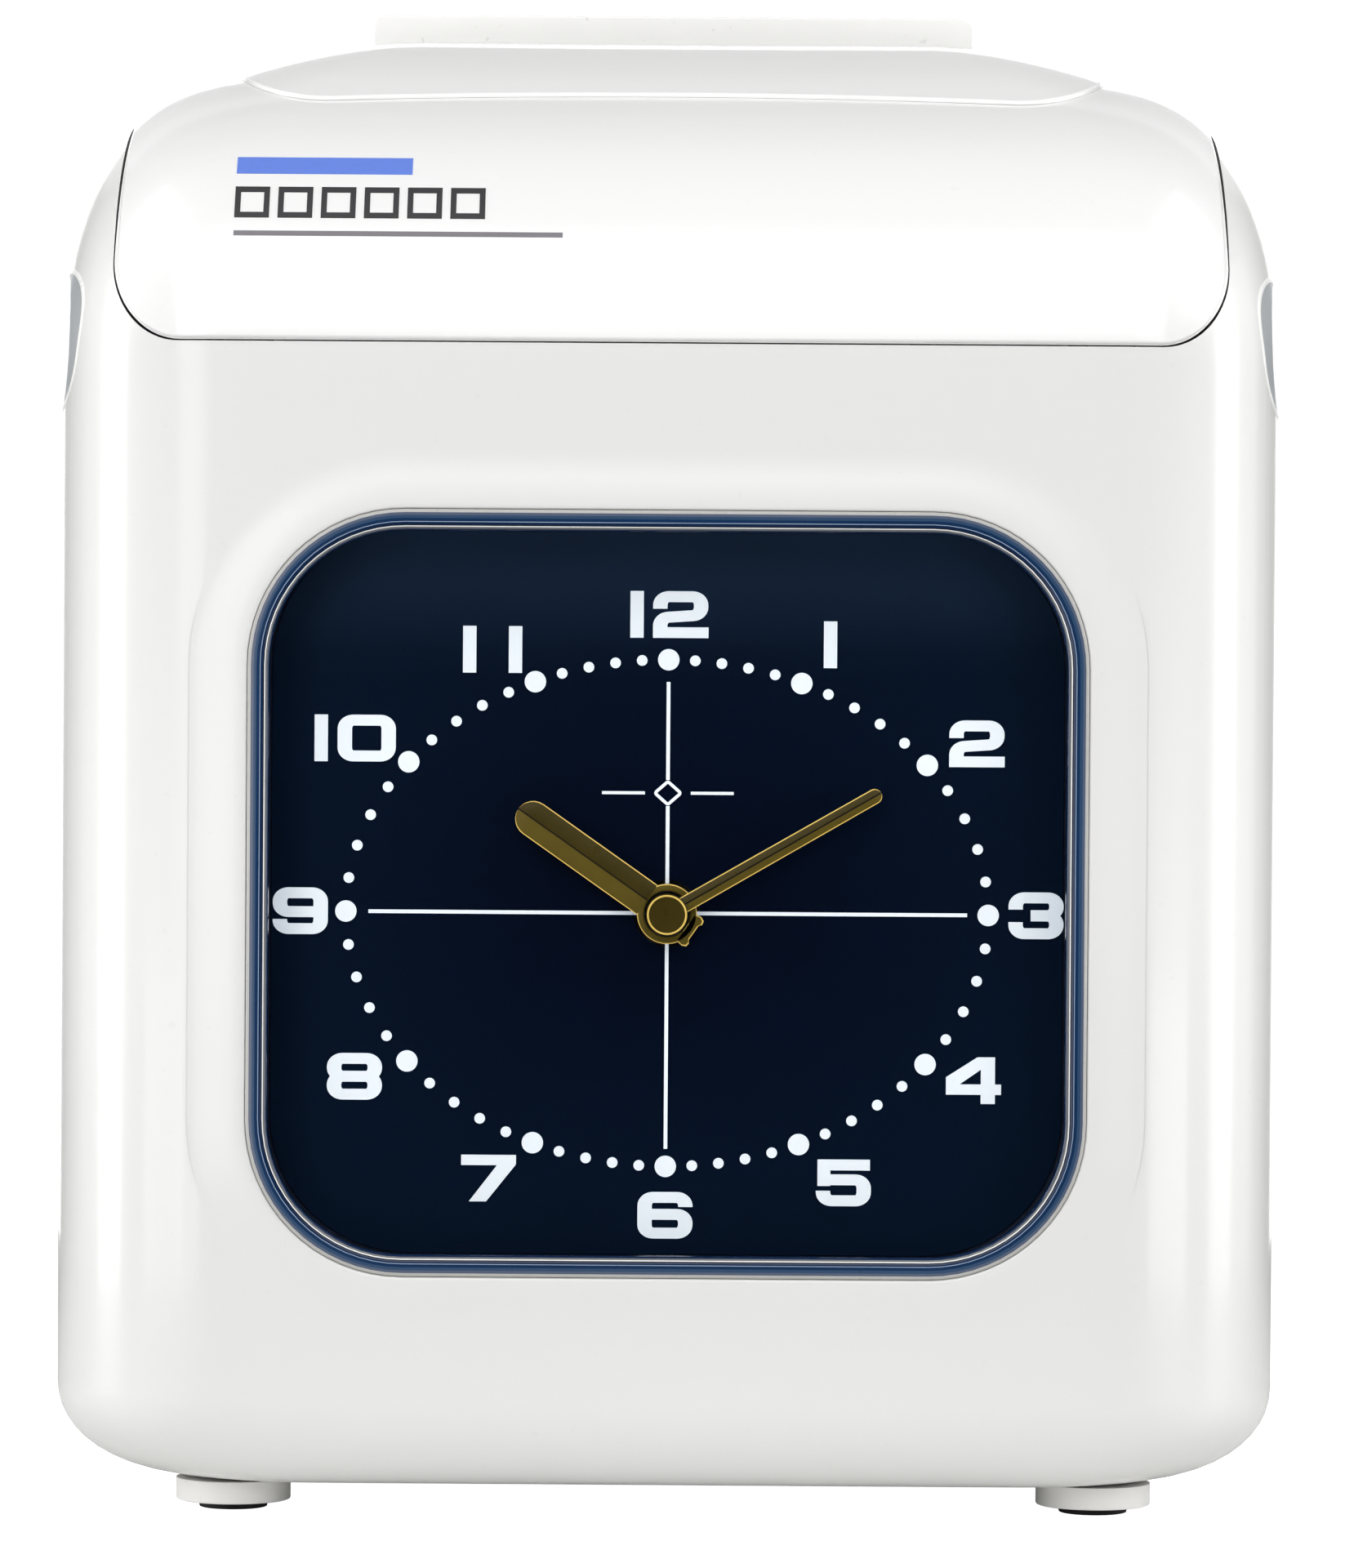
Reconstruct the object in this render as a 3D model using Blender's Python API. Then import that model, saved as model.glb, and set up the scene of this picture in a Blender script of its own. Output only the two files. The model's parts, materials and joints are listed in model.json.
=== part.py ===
"""Desktop punch time clock: analogue dial in front, card slot on top, printer inside.

Metres, +Z up, the dial faces -Y, +X is to the right of someone reading the dial.
The origin is the middle of the footprint, on the surface that the clock stands on.
"""

import math

import bmesh
import bpy
from mathutils import Vector

MM = 0.001

# ---------------------------------------------------------------- driving dimensions
GAP = 0.3 * MM
WALL = 2.2 * MM

BODY_HALF_WIDTH = 80.4 * MM
BODY_FRONT = -66.0 * MM
BODY_REAR = 67.0 * MM
BODY_BOTTOM = 4.2 * MM
BODY_TOP = 192.0 * MM
LOW_START = 16.2 * MM
LOW_SIDE_REACH = 16.0 * MM
LOW_FRONT_REACH = 10.0 * MM
LOW_REAR_REACH = 5.0 * MM
HIGH_START = 150.0 * MM
HIGH_SIDE_REACH = 22.4 * MM
HIGH_FRONT_REACH = 64.0 * MM
HIGH_REAR_REACH = 14.0 * MM
HIGH_REAR_START = 176.0 * MM
HIGH_EXPONENT = 2.2
CORNER_FRONT = (22.0 * MM, 26.0 * MM)
CORNER_REAR = (9.0 * MM, 9.0 * MM)
CORNER_EXPONENT = 2.3
SPLIT_Y = 20.0 * MM
SEAM = 0.35 * MM

COVER_HALF_WIDTH = 72.2 * MM
COVER_BOTTOM = 153.1 * MM
COVER_CORNER = (9.0 * MM, 10.6 * MM)
CAP_HALF_WIDTH = 58.8 * MM
CAP_FRONT = -39.9 * MM
CAP_REAR = 21.0 * MM
CAP_BOW = 2.3 * MM
CAP_LIP = 0.75 * MM
CAP_TOP = 196.8 * MM
CAP_TOP_HALF_WIDTH = 40.0 * MM
CAP_TOP_FRONT = -2.7 * MM
CAP_TOP_DEPTH = 19.2 * MM
COVER_REAR = 45.7 * MM
COVER_PROUD = 0.4 * MM
HINGE_Y = 46.0 * MM
HINGE_Z = 190.7 * MM
BARREL_RADIUS = 1.6 * MM
BARREL_HALF = 62.0 * MM
HINGE_PIN_RADIUS = 0.7 * MM
EAR_INNER = 50.35 * MM
EAR_OUTER = 54.4 * MM

LENS_CENTRE_Z = 81.7 * MM
LENS_HALF = (54.05 * MM, 49.8 * MM)
LENS_CORNER = 20.0 * MM
LENS_FRONT = -67.0 * MM
DIAL_Z = 78.9 * MM
DIAL_FRONT = -55.2 * MM

HOUR_ANGLE = math.radians(305.0)
MINUTE_ANGLE = math.radians(60.0)
HOUR_LENGTH = 23.7 * MM
HOUR_WIDTH = 4.7 * MM
MINUTE_LENGTH = 32.0 * MM
MINUTE_WIDTH = 2.1 * MM

BUTTON_Y = -43.0 * MM
BUTTON_Z = 153.3 * MM
DISH_HALF = (12.2 * MM, 9.3 * MM)
BUTTON_FACE = 79.0 * MM
BUTTON_HALF = (4.2 * MM, 4.5 * MM)

CHANNEL_FRONT = 4.2 * MM
CHANNEL_REAR = 10.0 * MM
CHANNEL_HALF = 44.3 * MM
CHANNEL_PLATE = 1.2 * MM
CHANNEL_BOTTOM = 14.0 * MM
CHANNEL_TOP = 179.0 * MM

SIDE_PLATE_INNER = 52.0 * MM
SIDE_PLATE_OUTER = 53.2 * MM

FEED_Y = -1.7 * MM
FEED_Z = 121.0 * MM
FEED_RADIUS = 6.0 * MM
FEED_SHAFT_RADIUS = 1.5 * MM
PINCH_Y = 14.0 * MM
PINCH_RADIUS = 4.0 * MM
PINCH_SHAFT_RADIUS = 1.2 * MM
GEAR_MODULE = 1.0 * MM
GEAR_TEETH = 24
PINION_TEETH = 12
GEAR_X = (53.8 * MM, 57.0 * MM)

RAIL_RADIUS = 2.0 * MM
RAIL_Z = 147.5 * MM
RAIL_FRONT_Y = -16.5 * MM
RAIL_REAR_Y = -5.5 * MM
PULLEY_X = 40.0 * MM
PULLEY_Z = 147.0 * MM
PULLEY_RADIUS = 5.0 * MM
BELT_INNER = 5.3 * MM
BELT_OUTER = 6.3 * MM

KEY_X = (-24.0 * MM, 0.0, 24.0 * MM)
KEY_Y = -54.0 * MM
FOOT_X = 56.7 * MM
FOOT_FRONT_Y = -47.0 * MM
FOOT_REAR_Y = 50.0 * MM
FOOT_RADIUS = 7.55 * MM
PAD_RADIUS = 4.5 * MM
SCREW_X = 66.0 * MM
SCREW_Z = (24.0 * MM, 158.0 * MM)
GLAND_X = 50.0 * MM
GLAND_Z = 22.0 * MM

# Cutting shapes reach this far, well clear of the clock.
FAR = 120.0 * MM
AXIS_INDEX = {"X": 0, "Y": 1, "Z": 2}


# ---------------------------------------------------------------- tools
def mm(*values):
    """Millimetres to metres."""
    return tuple(value * MM for value in values)


def clear_scene():
    for item in list(bpy.data.objects):
        bpy.data.objects.remove(item, do_unlink=True)


def material(name, colour, roughness, metallic=0.0, alpha=1.0):
    made = bpy.data.materials.new(name)
    made.use_nodes = True
    shader = made.node_tree.nodes["Principled BSDF"]
    shader.inputs["Base Color"].default_value = (*colour, 1.0)
    shader.inputs["Roughness"].default_value = roughness
    shader.inputs["Metallic"].default_value = metallic
    shader.inputs["Alpha"].default_value = alpha
    return made


def finish_mesh(name, shape, finish=None):
    """Turn a bmesh into a linked object with outward normals."""
    bmesh.ops.recalc_face_normals(shape, faces=shape.faces)
    mesh = bpy.data.meshes.new(name)
    shape.to_mesh(mesh)
    shape.free()
    made = bpy.data.objects.new(name, mesh)
    bpy.context.scene.collection.objects.link(made)
    if finish:
        mesh.materials.append(finish)
    return made


def loft(name, rings, finish=None, closed=False):
    """Skin a list of rings of equal length. An open stack gets a cap at each end."""
    shape = bmesh.new()
    stack = [[shape.verts.new(point) for point in ring] for ring in rings]
    pairs = list(zip(stack, stack[1:]))
    if closed:
        pairs.append((stack[-1], stack[0]))
    for lower, upper in pairs:
        for index in range(len(lower)):
            following = (index + 1) % len(lower)
            shape.faces.new((lower[index], lower[following], upper[following], upper[index]))
    if not closed:
        shape.faces.new(stack[0])
        shape.faces.new(stack[-1])
    return finish_mesh(name, shape, finish)


def on_axis(axis, along, first, second):
    """A point given by its place along an axis and its two other coordinates, in X, Y, Z order."""
    point = [first, second]
    point.insert(AXIS_INDEX[axis], along)
    return tuple(point)


def prism(name, outline, axis, low, high, finish=None):
    """Extrude a flat outline along an axis."""
    rings = [[on_axis(axis, along, *point) for point in outline] for along in (low, high)]
    return loft(name, rings, finish)


def box(name, low, high, finish=None):
    corners = ((low[0], low[1]), (high[0], low[1]), (high[0], high[1]), (low[0], high[1]))
    return prism(name, corners, "Z", low[2], high[2], finish)


def circle(centre, radius, segments):
    step = 2.0 * math.pi / segments
    return [
        (centre[0] + radius * math.cos(step * k), centre[1] + radius * math.sin(step * k))
        for k in range(segments)
    ]


def cylinder(name, axis, centre, radius, low, high, finish=None, segments=16):
    return prism(name, circle(centre, radius, segments), axis, low, high, finish)


def turned(name, axis, centre, profile, finish=None, segments=20, hollow=False):
    """Turn a profile of (radius, place along the axis) points about an axis."""
    rings = [
        [on_axis(axis, along, *point) for point in circle(centre, radius, segments)]
        for radius, along in profile
    ]
    return loft(name, rings, finish, closed=hollow)


def combine(target, other, operation="DIFFERENCE"):
    """Apply a Boolean to the target and use the other shape up."""
    modifier = target.modifiers.new("combine", "BOOLEAN")
    modifier.operation = operation
    modifier.solver = "EXACT"
    modifier.object = other
    view = bpy.context.evaluated_depsgraph_get()
    result = bpy.data.meshes.new_from_object(target.evaluated_get(view))
    target.modifiers.clear()
    old = target.data
    target.data = result
    bpy.data.meshes.remove(old)
    bpy.data.objects.remove(other)
    return target


def cut(target, *cutters):
    for cutter in cutters:
        combine(target, cutter)
    return target


def join(target, *others):
    for other in others:
        combine(target, other, "UNION")
    return target


def seat(piece, point, smooth=None):
    """Move a piece's origin to a point, without moving the piece, and shade it."""
    offset = Vector(point)
    for vertex in piece.data.vertices:
        vertex.co -= offset
    piece.location = offset
    if smooth:
        piece.data.shade_smooth()
        piece.data.set_sharp_from_angle(angle=math.radians(smooth))
    return piece


def settle(piece, smooth=None):
    """Put a fixed piece's origin at the middle of its box."""
    corners = [Vector(corner) for corner in piece.bound_box]
    middle = sum(corners, Vector()) / len(corners)
    return seat(piece, middle, smooth)


# ---------------------------------------------------------------- outlines
def corner_arc(centre, reach, start_degrees, exponent, steps):
    """A quarter superellipse, counter-clockwise from the start angle."""
    points = []
    for step in range(steps + 1):
        angle = math.radians(start_degrees + 90.0 * step / steps)
        across, up = math.cos(angle), math.sin(angle)
        points.append(
            (
                centre[0] + reach[0] * math.copysign(abs(across) ** (2.0 / exponent), across),
                centre[1] + reach[1] * math.copysign(abs(up) ** (2.0 / exponent), up),
            )
        )
    return points


def rounded_outline(centre, half, radius, steps=8, exponent=2.0):
    """A rectangle with four equal rounded corners."""
    inner = (half[0] - radius, half[1] - radius)
    outline = []
    for start, across, up in ((0, 1, 1), (90, -1, 1), (180, -1, -1), (270, 1, -1)):
        corner = (centre[0] + across * inner[0], centre[1] + up * inner[1])
        outline += corner_arc(corner, (radius, radius), start, exponent, steps)
    return outline


def oval_outline(centre, half, segments=28, lean=0.16, exponent=2.6):
    """A full oval whose top leans towards the front."""
    outline = []
    for step in range(segments):
        angle = 2.0 * math.pi * step / segments
        across, up = math.cos(angle), math.sin(angle)
        across = half[0] * math.copysign(abs(across) ** (2.0 / exponent), across)
        up = half[1] * math.copysign(abs(up) ** (2.0 / exponent), up)
        outline.append((centre[0] + across - lean * up, centre[1] + up))
    return outline


def cover_outline(half_width, bottom, top=230.0 * MM, steps=6):
    """The cover seen from the front: square above, rounded lower corners."""
    reach_x, reach_z = COVER_CORNER
    low = bottom + reach_z
    side = half_width - reach_x
    outline = corner_arc((-side, low), COVER_CORNER, 180, 2.0, steps)
    outline += corner_arc((side, low), COVER_CORNER, 270, 2.0, steps)
    return outline + [(half_width, top), (-half_width, top)]


# ---------------------------------------------------------------- the body's outer form
def rounding(fraction, reach, exponent):
    """How far a rounded edge has drawn in, at a fraction of its height."""
    remaining = max(0.0, 1.0 - max(0.0, fraction) ** exponent)
    return reach * (1.0 - remaining ** (1.0 / exponent))


def section_size(height, inset):
    """Half width, front and rear of the body's horizontal section, drawn in by an inset."""
    top = BODY_TOP - inset
    low = (LOW_START - height) / (LOW_START - BODY_BOTTOM - inset)
    high = (height - HIGH_START) / (top - HIGH_START)
    high_rear = (height - HIGH_REAR_START) / (top - HIGH_REAR_START)
    half_width = BODY_HALF_WIDTH - inset
    half_width -= rounding(low, LOW_SIDE_REACH - inset, 2.0)
    half_width -= rounding(high, HIGH_SIDE_REACH - inset, HIGH_EXPONENT)
    front = BODY_FRONT + inset
    front += rounding(low, LOW_FRONT_REACH - inset, 2.0)
    front += rounding(high, HIGH_FRONT_REACH - inset, HIGH_EXPONENT)
    rear = BODY_REAR - inset
    rear -= rounding(low, LOW_REAR_REACH - inset, 2.0)
    rear -= rounding(high_rear, HIGH_REAR_REACH - inset, 2.0)
    return half_width, front, rear


def section_outline(height, inset):
    """The body's horizontal section at a height."""
    half_width, front, rear = section_size(height, inset)
    outline = []
    for start, across, along in ((0, 1, 1), (90, -1, 1), (180, -1, -1), (270, 1, -1)):
        size = CORNER_REAR if along > 0 else CORNER_FRONT
        reach = (size[0] - inset, size[1] - inset)
        edge = rear - reach[1] if along > 0 else front + reach[1]
        corner = (across * (half_width - reach[0]), edge)
        steps = 4 if along > 0 else 8
        outline += corner_arc(corner, reach, start, CORNER_EXPONENT, steps)
    return outline


def inside_section(x, y, height, inset):
    """True if a point lies inside the body's section at a height, ahead of its rear."""
    half_width, front, _ = section_size(height, inset)
    if abs(x) > half_width or y < front:
        return False
    across = (abs(x) - half_width) / (CORNER_FRONT[0] - inset) + 1.0
    along = (front - y) / (CORNER_FRONT[1] - inset) + 1.0
    if across <= 0.0 or along <= 0.0:
        return True
    return across**CORNER_EXPONENT + along**CORNER_EXPONENT <= 1.0


def surface_height(x, y, inset):
    """How high the body's form is above a point of its plan."""
    low, high = HIGH_START, BODY_TOP - inset
    for _ in range(40):
        middle = (low + high) / 2
        if inside_section(x, y, middle, inset):
            low = middle
        else:
            high = middle
    return low


def body_form(name, inset=0.0, low_steps=5, high_steps=11):
    """The closed outer form of the clock, drawn in by an inset."""
    heights = []
    for step in range(low_steps + 1):
        drop = math.cos(0.5 * math.pi * step / low_steps)
        heights.append(LOW_START - (LOW_START - BODY_BOTTOM - inset) * drop)
    for step in range(high_steps + 1):
        rise = math.sin(0.5 * math.pi * step / high_steps) ** (2.0 / HIGH_EXPONENT)
        heights.append(HIGH_START + (BODY_TOP - inset - HIGH_START) * rise)
    rings = [[(*point, z) for point in section_outline(z, inset)] for z in heights]
    return loft(name, rings)


def body_shell(name, proud, wall, finish):
    shell = body_form(name, -proud)
    shell.data.materials.append(finish)
    return cut(shell, body_form("hollow", wall))


# ---------------------------------------------------------------- housing
def lens_opening():
    half = (LENS_HALF[0] + GAP, LENS_HALF[1] + GAP)
    outline = rounded_outline((0.0, LENS_CENTRE_Z), half, LENS_CORNER + GAP, 8)
    return prism("opening", outline, "Y", -FAR, -50 * MM)


def button_hole(side):
    outline = oval_outline((BUTTON_Y, BUTTON_Z), DISH_HALF)
    return prism("hole", outline, "X", side * 60 * MM, side * FAR)


def cover_hole(rear):
    outline = cover_outline(COVER_HALF_WIDTH + SEAM, COVER_BOTTOM - SEAM)
    return prism("cover_hole", outline, "Y", -FAR, rear)


def make_front_housing(plastic):
    housing = body_shell("front_housing", 0.0, WALL, plastic)
    cut(housing, box("rear_half", (-FAR, SPLIT_Y, -FAR), (FAR, FAR, 2 * FAR)))
    cut(housing, cover_hole(60 * MM), lens_opening(), button_hole(-1), button_hole(1))
    return settle(housing, 40)


def make_rear_housing(plastic):
    housing = body_shell("rear_housing", 0.0, WALL, plastic)
    cut(housing, box("front_half", (-FAR, -FAR, -FAR), (FAR, SPLIT_Y + SEAM, 2 * FAR)))
    cut(housing, cover_hole(COVER_REAR + 0.4 * MM))
    cut(housing, box("barrel_room", mm(-66.4, 30, 183), mm(66.4, 48.1, 240)))
    for side in (-1, 1):
        inner, outer = side * EAR_INNER, side * EAR_OUTER
        centre = (HINGE_Y, HINGE_Z)
        ear = cylinder("ear", "X", centre, BARREL_RADIUS, inner, outer, segments=16)
        arm_low = (min(inner, outer), HINGE_Y, HINGE_Z - 1.3 * MM)
        arm_high = (max(inner, outer), HINGE_Y + 4 * MM, HINGE_Z + 0.5 * MM)
        join(ear, box("arm", arm_low, arm_high))
        bore_radius = HINGE_PIN_RADIUS + 0.1 * MM
        cut(ear, cylinder("bore", "X", centre, bore_radius, side * 40 * MM, side * 60 * MM))
        join(housing, ear)
        for height in SCREW_Z:
            place = (side * SCREW_X, height)
            join(housing, cylinder("boss", "Y", place, 5.2 * MM, 54 * MM, 65.6 * MM, segments=16))
            cut(housing, cylinder("recess", "Y", place, 3.5 * MM, 63 * MM, 70 * MM, segments=16))
            cut(housing, cylinder("hole", "Y", place, 1.8 * MM, 50 * MM, 70 * MM, segments=12))
    cut(housing, cylinder("cord_hole", "Y", (GLAND_X, GLAND_Z), 5.3 * MM, 60 * MM, 70 * MM))
    vent_half_length = 14 * MM
    vent_half_height = 1.1 * MM
    for side in (-1, 1):
        for row in range(5):
            centre = (side * 26 * MM, (118 + 7 * row) * MM)
            slot = rounded_outline(centre, (vent_half_length, vent_half_height), 1.0 * MM, 2)
            cut(housing, prism("vent", slot, "Y", 60 * MM, 70 * MM))
    return settle(housing, 40)


def make_feet(plastic, rubber):
    for row, place_y in (("front", FOOT_FRONT_Y), ("rear", FOOT_REAR_Y)):
        for side, place_x in (("left", -FOOT_X), ("right", FOOT_X)):
            profile = [
                (PAD_RADIUS + GAP, 1.0 * MM),
                (FOOT_RADIUS - 0.4 * MM, 1.0 * MM),
                (FOOT_RADIUS, 1.4 * MM),
                (FOOT_RADIUS, BODY_BOTTOM - GAP),
                (PAD_RADIUS - 2 * MM, BODY_BOTTOM - GAP),
                (PAD_RADIUS - 2 * MM, 2.0 * MM),
                (PAD_RADIUS + GAP, 2.0 * MM),
            ]
            centre = (place_x, place_y)
            foot = turned(f"foot_{row}_{side}", "Z", centre, profile, plastic, 24, hollow=True)
            settle(foot, 35)
            pad_profile = [
                (PAD_RADIUS - 0.3 * MM, 0.0),
                (PAD_RADIUS, 0.3 * MM),
                (PAD_RADIUS, 1.7 * MM),
            ]
            settle(turned(f"foot_pad_{row}_{side}", "Z", centre, pad_profile, rubber, 20), 35)


def make_case_screws(steel):
    number = 0
    for side in (-1, 1):
        for height in SCREW_Z:
            number += 1
            centre = (side * SCREW_X, height)
            profile = [
                (1.4 * MM, 52.0 * MM),
                (1.4 * MM, 63.3 * MM),
                (3.1 * MM, 63.3 * MM),
                (3.1 * MM, 64.6 * MM),
                (2.2 * MM, 65.4 * MM),
            ]
            screw = turned(f"case_screw_{number}", "Y", centre, profile, steel, 16)
            for long_x, long_z in ((1.7, 0.35), (0.35, 1.7)):
                low = (centre[0] - long_x * MM, 64.4 * MM, centre[1] - long_z * MM)
                high = (centre[0] + long_x * MM, 66.0 * MM, centre[1] + long_z * MM)
                cut(screw, box("recess", low, high))
            settle(screw, 35)


def make_cord_gland(rubber):
    profile = [
        (3.4 * MM, 61.5 * MM),
        (6.8 * MM, 61.5 * MM),
        (6.8 * MM, 64.4 * MM),
        (5.0 * MM, 64.4 * MM),
        (5.0 * MM, 66.9 * MM),
        (3.4 * MM, 66.9 * MM),
    ]
    centre = (GLAND_X, GLAND_Z)
    settle(turned("cord_gland", "Y", centre, profile, rubber, 20, hollow=True), 35)


# ---------------------------------------------------------------- top cover
def cap_outline(inset):
    """The slot bezel in plan: a long rounded lozenge with a slightly hollow front edge."""
    side, rear_y, front_y = 45.5 * MM, 12 * MM, -12 * MM
    rear_reach = (CAP_HALF_WIDTH - side - inset, CAP_REAR - rear_y - inset)
    front_reach = (rear_reach[0], front_y - CAP_FRONT - inset)
    outline = corner_arc((side, rear_y), rear_reach, 0, 2.4, 4)
    outline += corner_arc((-side, rear_y), rear_reach, 90, 2.4, 4)
    outline += corner_arc((-side, front_y), front_reach, 180, 2.4, 7)
    for step in range(1, 6):
        x = side * (step / 3.0 - 1.0)
        outline.append((x, CAP_FRONT + inset + CAP_BOW * (1.0 - (x / side) ** 2)))
    return outline + corner_arc((side, front_y), front_reach, 270, 2.4, 7)


def cap_form(name, inset=0.0):
    """The low rise round the card mouth. Its edge follows the cover, and its top is flat."""
    outline = cap_outline(inset)
    edge = [surface_height(x, y, -COVER_PROUD) + CAP_LIP for x, y in cap_outline(0.0)]
    rings = [[(x, y, 178 * MM) for x, y in outline]]
    for share in (0.0, 0.2, 0.45, 0.72, 1.0):
        rise = 1.0 - (1.0 - share) ** 1.5
        ring = []
        for (x, y), start in zip(outline, edge):
            inner_x = x * CAP_TOP_HALF_WIDTH / CAP_HALF_WIDTH
            inner_y = CAP_TOP_FRONT + (y - CAP_FRONT) * CAP_TOP_DEPTH / (CAP_REAR - CAP_FRONT)
            height = start + (CAP_TOP - start) * rise - inset
            ring.append((x + (inner_x - x) * share, y + (inner_y - y) * share, height))
        rings.append(ring)
    return loft(name, rings)


def make_slot_bezel(plastic):
    bezel = cap_form("slot_bezel")
    bezel.data.materials.append(plastic)
    cut(bezel, cap_form("hollow", 1.6 * MM))
    cut(bezel, body_form("seat", -COVER_PROUD - GAP))
    throat = box("throat", mm(-46.3, 2.4, 181), mm(46.3, 15.4, 195.4))
    join(bezel, throat)
    mouth = ((4.2, 178), (10.6, 178), (10.6, 189), (11.2, 200), (1.6, 200), (4.2, 189))
    cut(bezel, prism("mouth", [mm(*point) for point in mouth], "X", -44 * MM, 44 * MM))
    cut(bezel, box("guide_pocket", mm(-42.3, 11.7, 187), mm(42.3, 13.7, 200)))
    return seat(bezel, (0.0, HINGE_Y, HINGE_Z), 35)


def make_card_guide(plastic):
    low, high, half, corner = 187.3 * MM, 202.0 * MM, 42.0 * MM, 1.5 * MM
    outline = [(-half, low), (half, low)]
    outline += corner_arc((half - corner, high - corner), (corner, corner), 0, 2.0, 4)
    outline += corner_arc((corner - half, high - corner), (corner, corner), 90, 2.0, 4)
    guide = prism("card_guide", outline, "Y", 12.0 * MM, 13.4 * MM, plastic)
    return seat(guide, (0.0, HINGE_Y, HINGE_Z))


def make_top_cover(plastic):
    cover = body_shell("top_cover", COVER_PROUD, WALL, plastic)
    region = prism("region", cover_outline(COVER_HALF_WIDTH, COVER_BOTTOM), "Y", -FAR, COVER_REAR)
    combine(cover, region, "INTERSECT")
    cut(cover, box("throat_hole", mm(-46.9, 1.8, 170), mm(46.9, 16, 210)))
    centre = (HINGE_Y, HINGE_Z)
    join(cover, cylinder("barrel", "X", centre, BARREL_RADIUS, -BARREL_HALF, BARREL_HALF, segments=16))
    for side in (-1, 1):
        low = (min(side * 50.0, side * 54.75) * MM, 43.9 * MM, 186 * MM)
        high = (max(side * 50.0, side * 54.75) * MM, 50 * MM, 196 * MM)
        cut(cover, box("notch", low, high))
        bore_radius = HINGE_PIN_RADIUS + 0.1 * MM
        cut(cover, cylinder("bore", "X", centre, bore_radius, side * 43.5 * MM, side * 51 * MM))
    return seat(cover, (0.0, HINGE_Y, HINGE_Z), 40)


def make_hinge_pins(steel):
    for side, word in ((-1, "left"), (1, "right")):
        low, high = side * 44 * MM, side * 54.2 * MM
        centre = (HINGE_Y, HINGE_Z)
        pin = cylinder(f"hinge_pin_{word}", "X", centre, HINGE_PIN_RADIUS, low, high, steel, 12)
        settle(pin, 35)


# ---------------------------------------------------------------- release buttons
def make_release_buttons(dish_plastic, button_plastic):
    for side, word in ((-1, "left"), (1, "right")):
        near, far = side * 60 * MM, side * FAR
        half = (DISH_HALF[0] - GAP, DISH_HALF[1] - GAP)
        outline = oval_outline((BUTTON_Y, BUTTON_Z), half)
        dish = prism(f"button_bezel_{word}", outline, "X", near, far, dish_plastic)
        combine(dish, body_form("outside"), "INTERSECT")
        cut(dish, box("inside", *ordered((0, -70 * MM, 130 * MM), (side * 74.4 * MM, 0, 180 * MM))))
        dish_cut = [(0.5, 73.9), (4.6, 76.9), (7.6, 78.3), (9.3, 80.1), (10.5, 87.9)]
        profile = [(radius * MM, side * along * MM) for radius, along in dish_cut]
        cut(dish, turned("scoop", "X", (BUTTON_Y, BUTTON_Z), profile, segments=28))
        hole_half = (BUTTON_HALF[0] + GAP, BUTTON_HALF[1] + GAP)
        hole = oval_outline((BUTTON_Y, BUTTON_Z), hole_half, 20)
        cut(dish, prism("hole", hole, "X", near, far))
        settle(dish, 35)
        face = oval_outline((BUTTON_Y, BUTTON_Z), BUTTON_HALF, 20)
        button = prism(f"release_button_{word}", face, "X", side * 72.9 * MM, side * BUTTON_FACE)
        button.data.materials.append(button_plastic)
        corner_a = (side * 71.7 * MM, -48 * MM, 140 * MM)
        corner_b = (side * 73.5 * MM, -38 * MM, 160 * MM)
        join(button, box("spring_arm", *ordered(corner_a, corner_b)))
        seat(button, (side * BUTTON_FACE, BUTTON_Y, BUTTON_Z), 35)


def ordered(first, second):
    """The lowest and highest corners of the box between two points."""
    low = tuple(min(a, b) for a, b in zip(first, second))
    high = tuple(max(a, b) for a, b in zip(first, second))
    return low, high


# ---------------------------------------------------------------- clock
def lens_ring(inset, y):
    half = (LENS_HALF[0] - inset, LENS_HALF[1] - inset)
    outline = rounded_outline((0.0, LENS_CENTRE_Z), half, LENS_CORNER - inset, 8)
    return [(x, y, z) for x, z in outline]


def lens_loft(name, profile, finish=None):
    """Skin rings given by (inset, depth behind the window's face), in millimetres."""
    rings = [lens_ring(inset * MM, LENS_FRONT + depth * MM) for inset, depth in profile]
    return loft(name, rings, finish)


def make_clock_lens(clear_plastic):
    skirt_depth = 5.1
    outer = ((2.6, 0.0), (0.9, 0.6), (0.0, 1.6), (0.0, skirt_depth))
    lens = lens_loft("clock_lens", outer, clear_plastic)
    join(lens, lens_loft("flange", ((-2.5, 3.6), (-2.5, 4.7))))
    cut(lens, lens_loft("hollow", ((3.2, 1.6), (2.3, 2.1), (1.8, 3.0), (1.8, 7.0))))
    return seat(lens, (0.0, LENS_FRONT + skirt_depth * MM, LENS_CENTRE_Z), 35)


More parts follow.
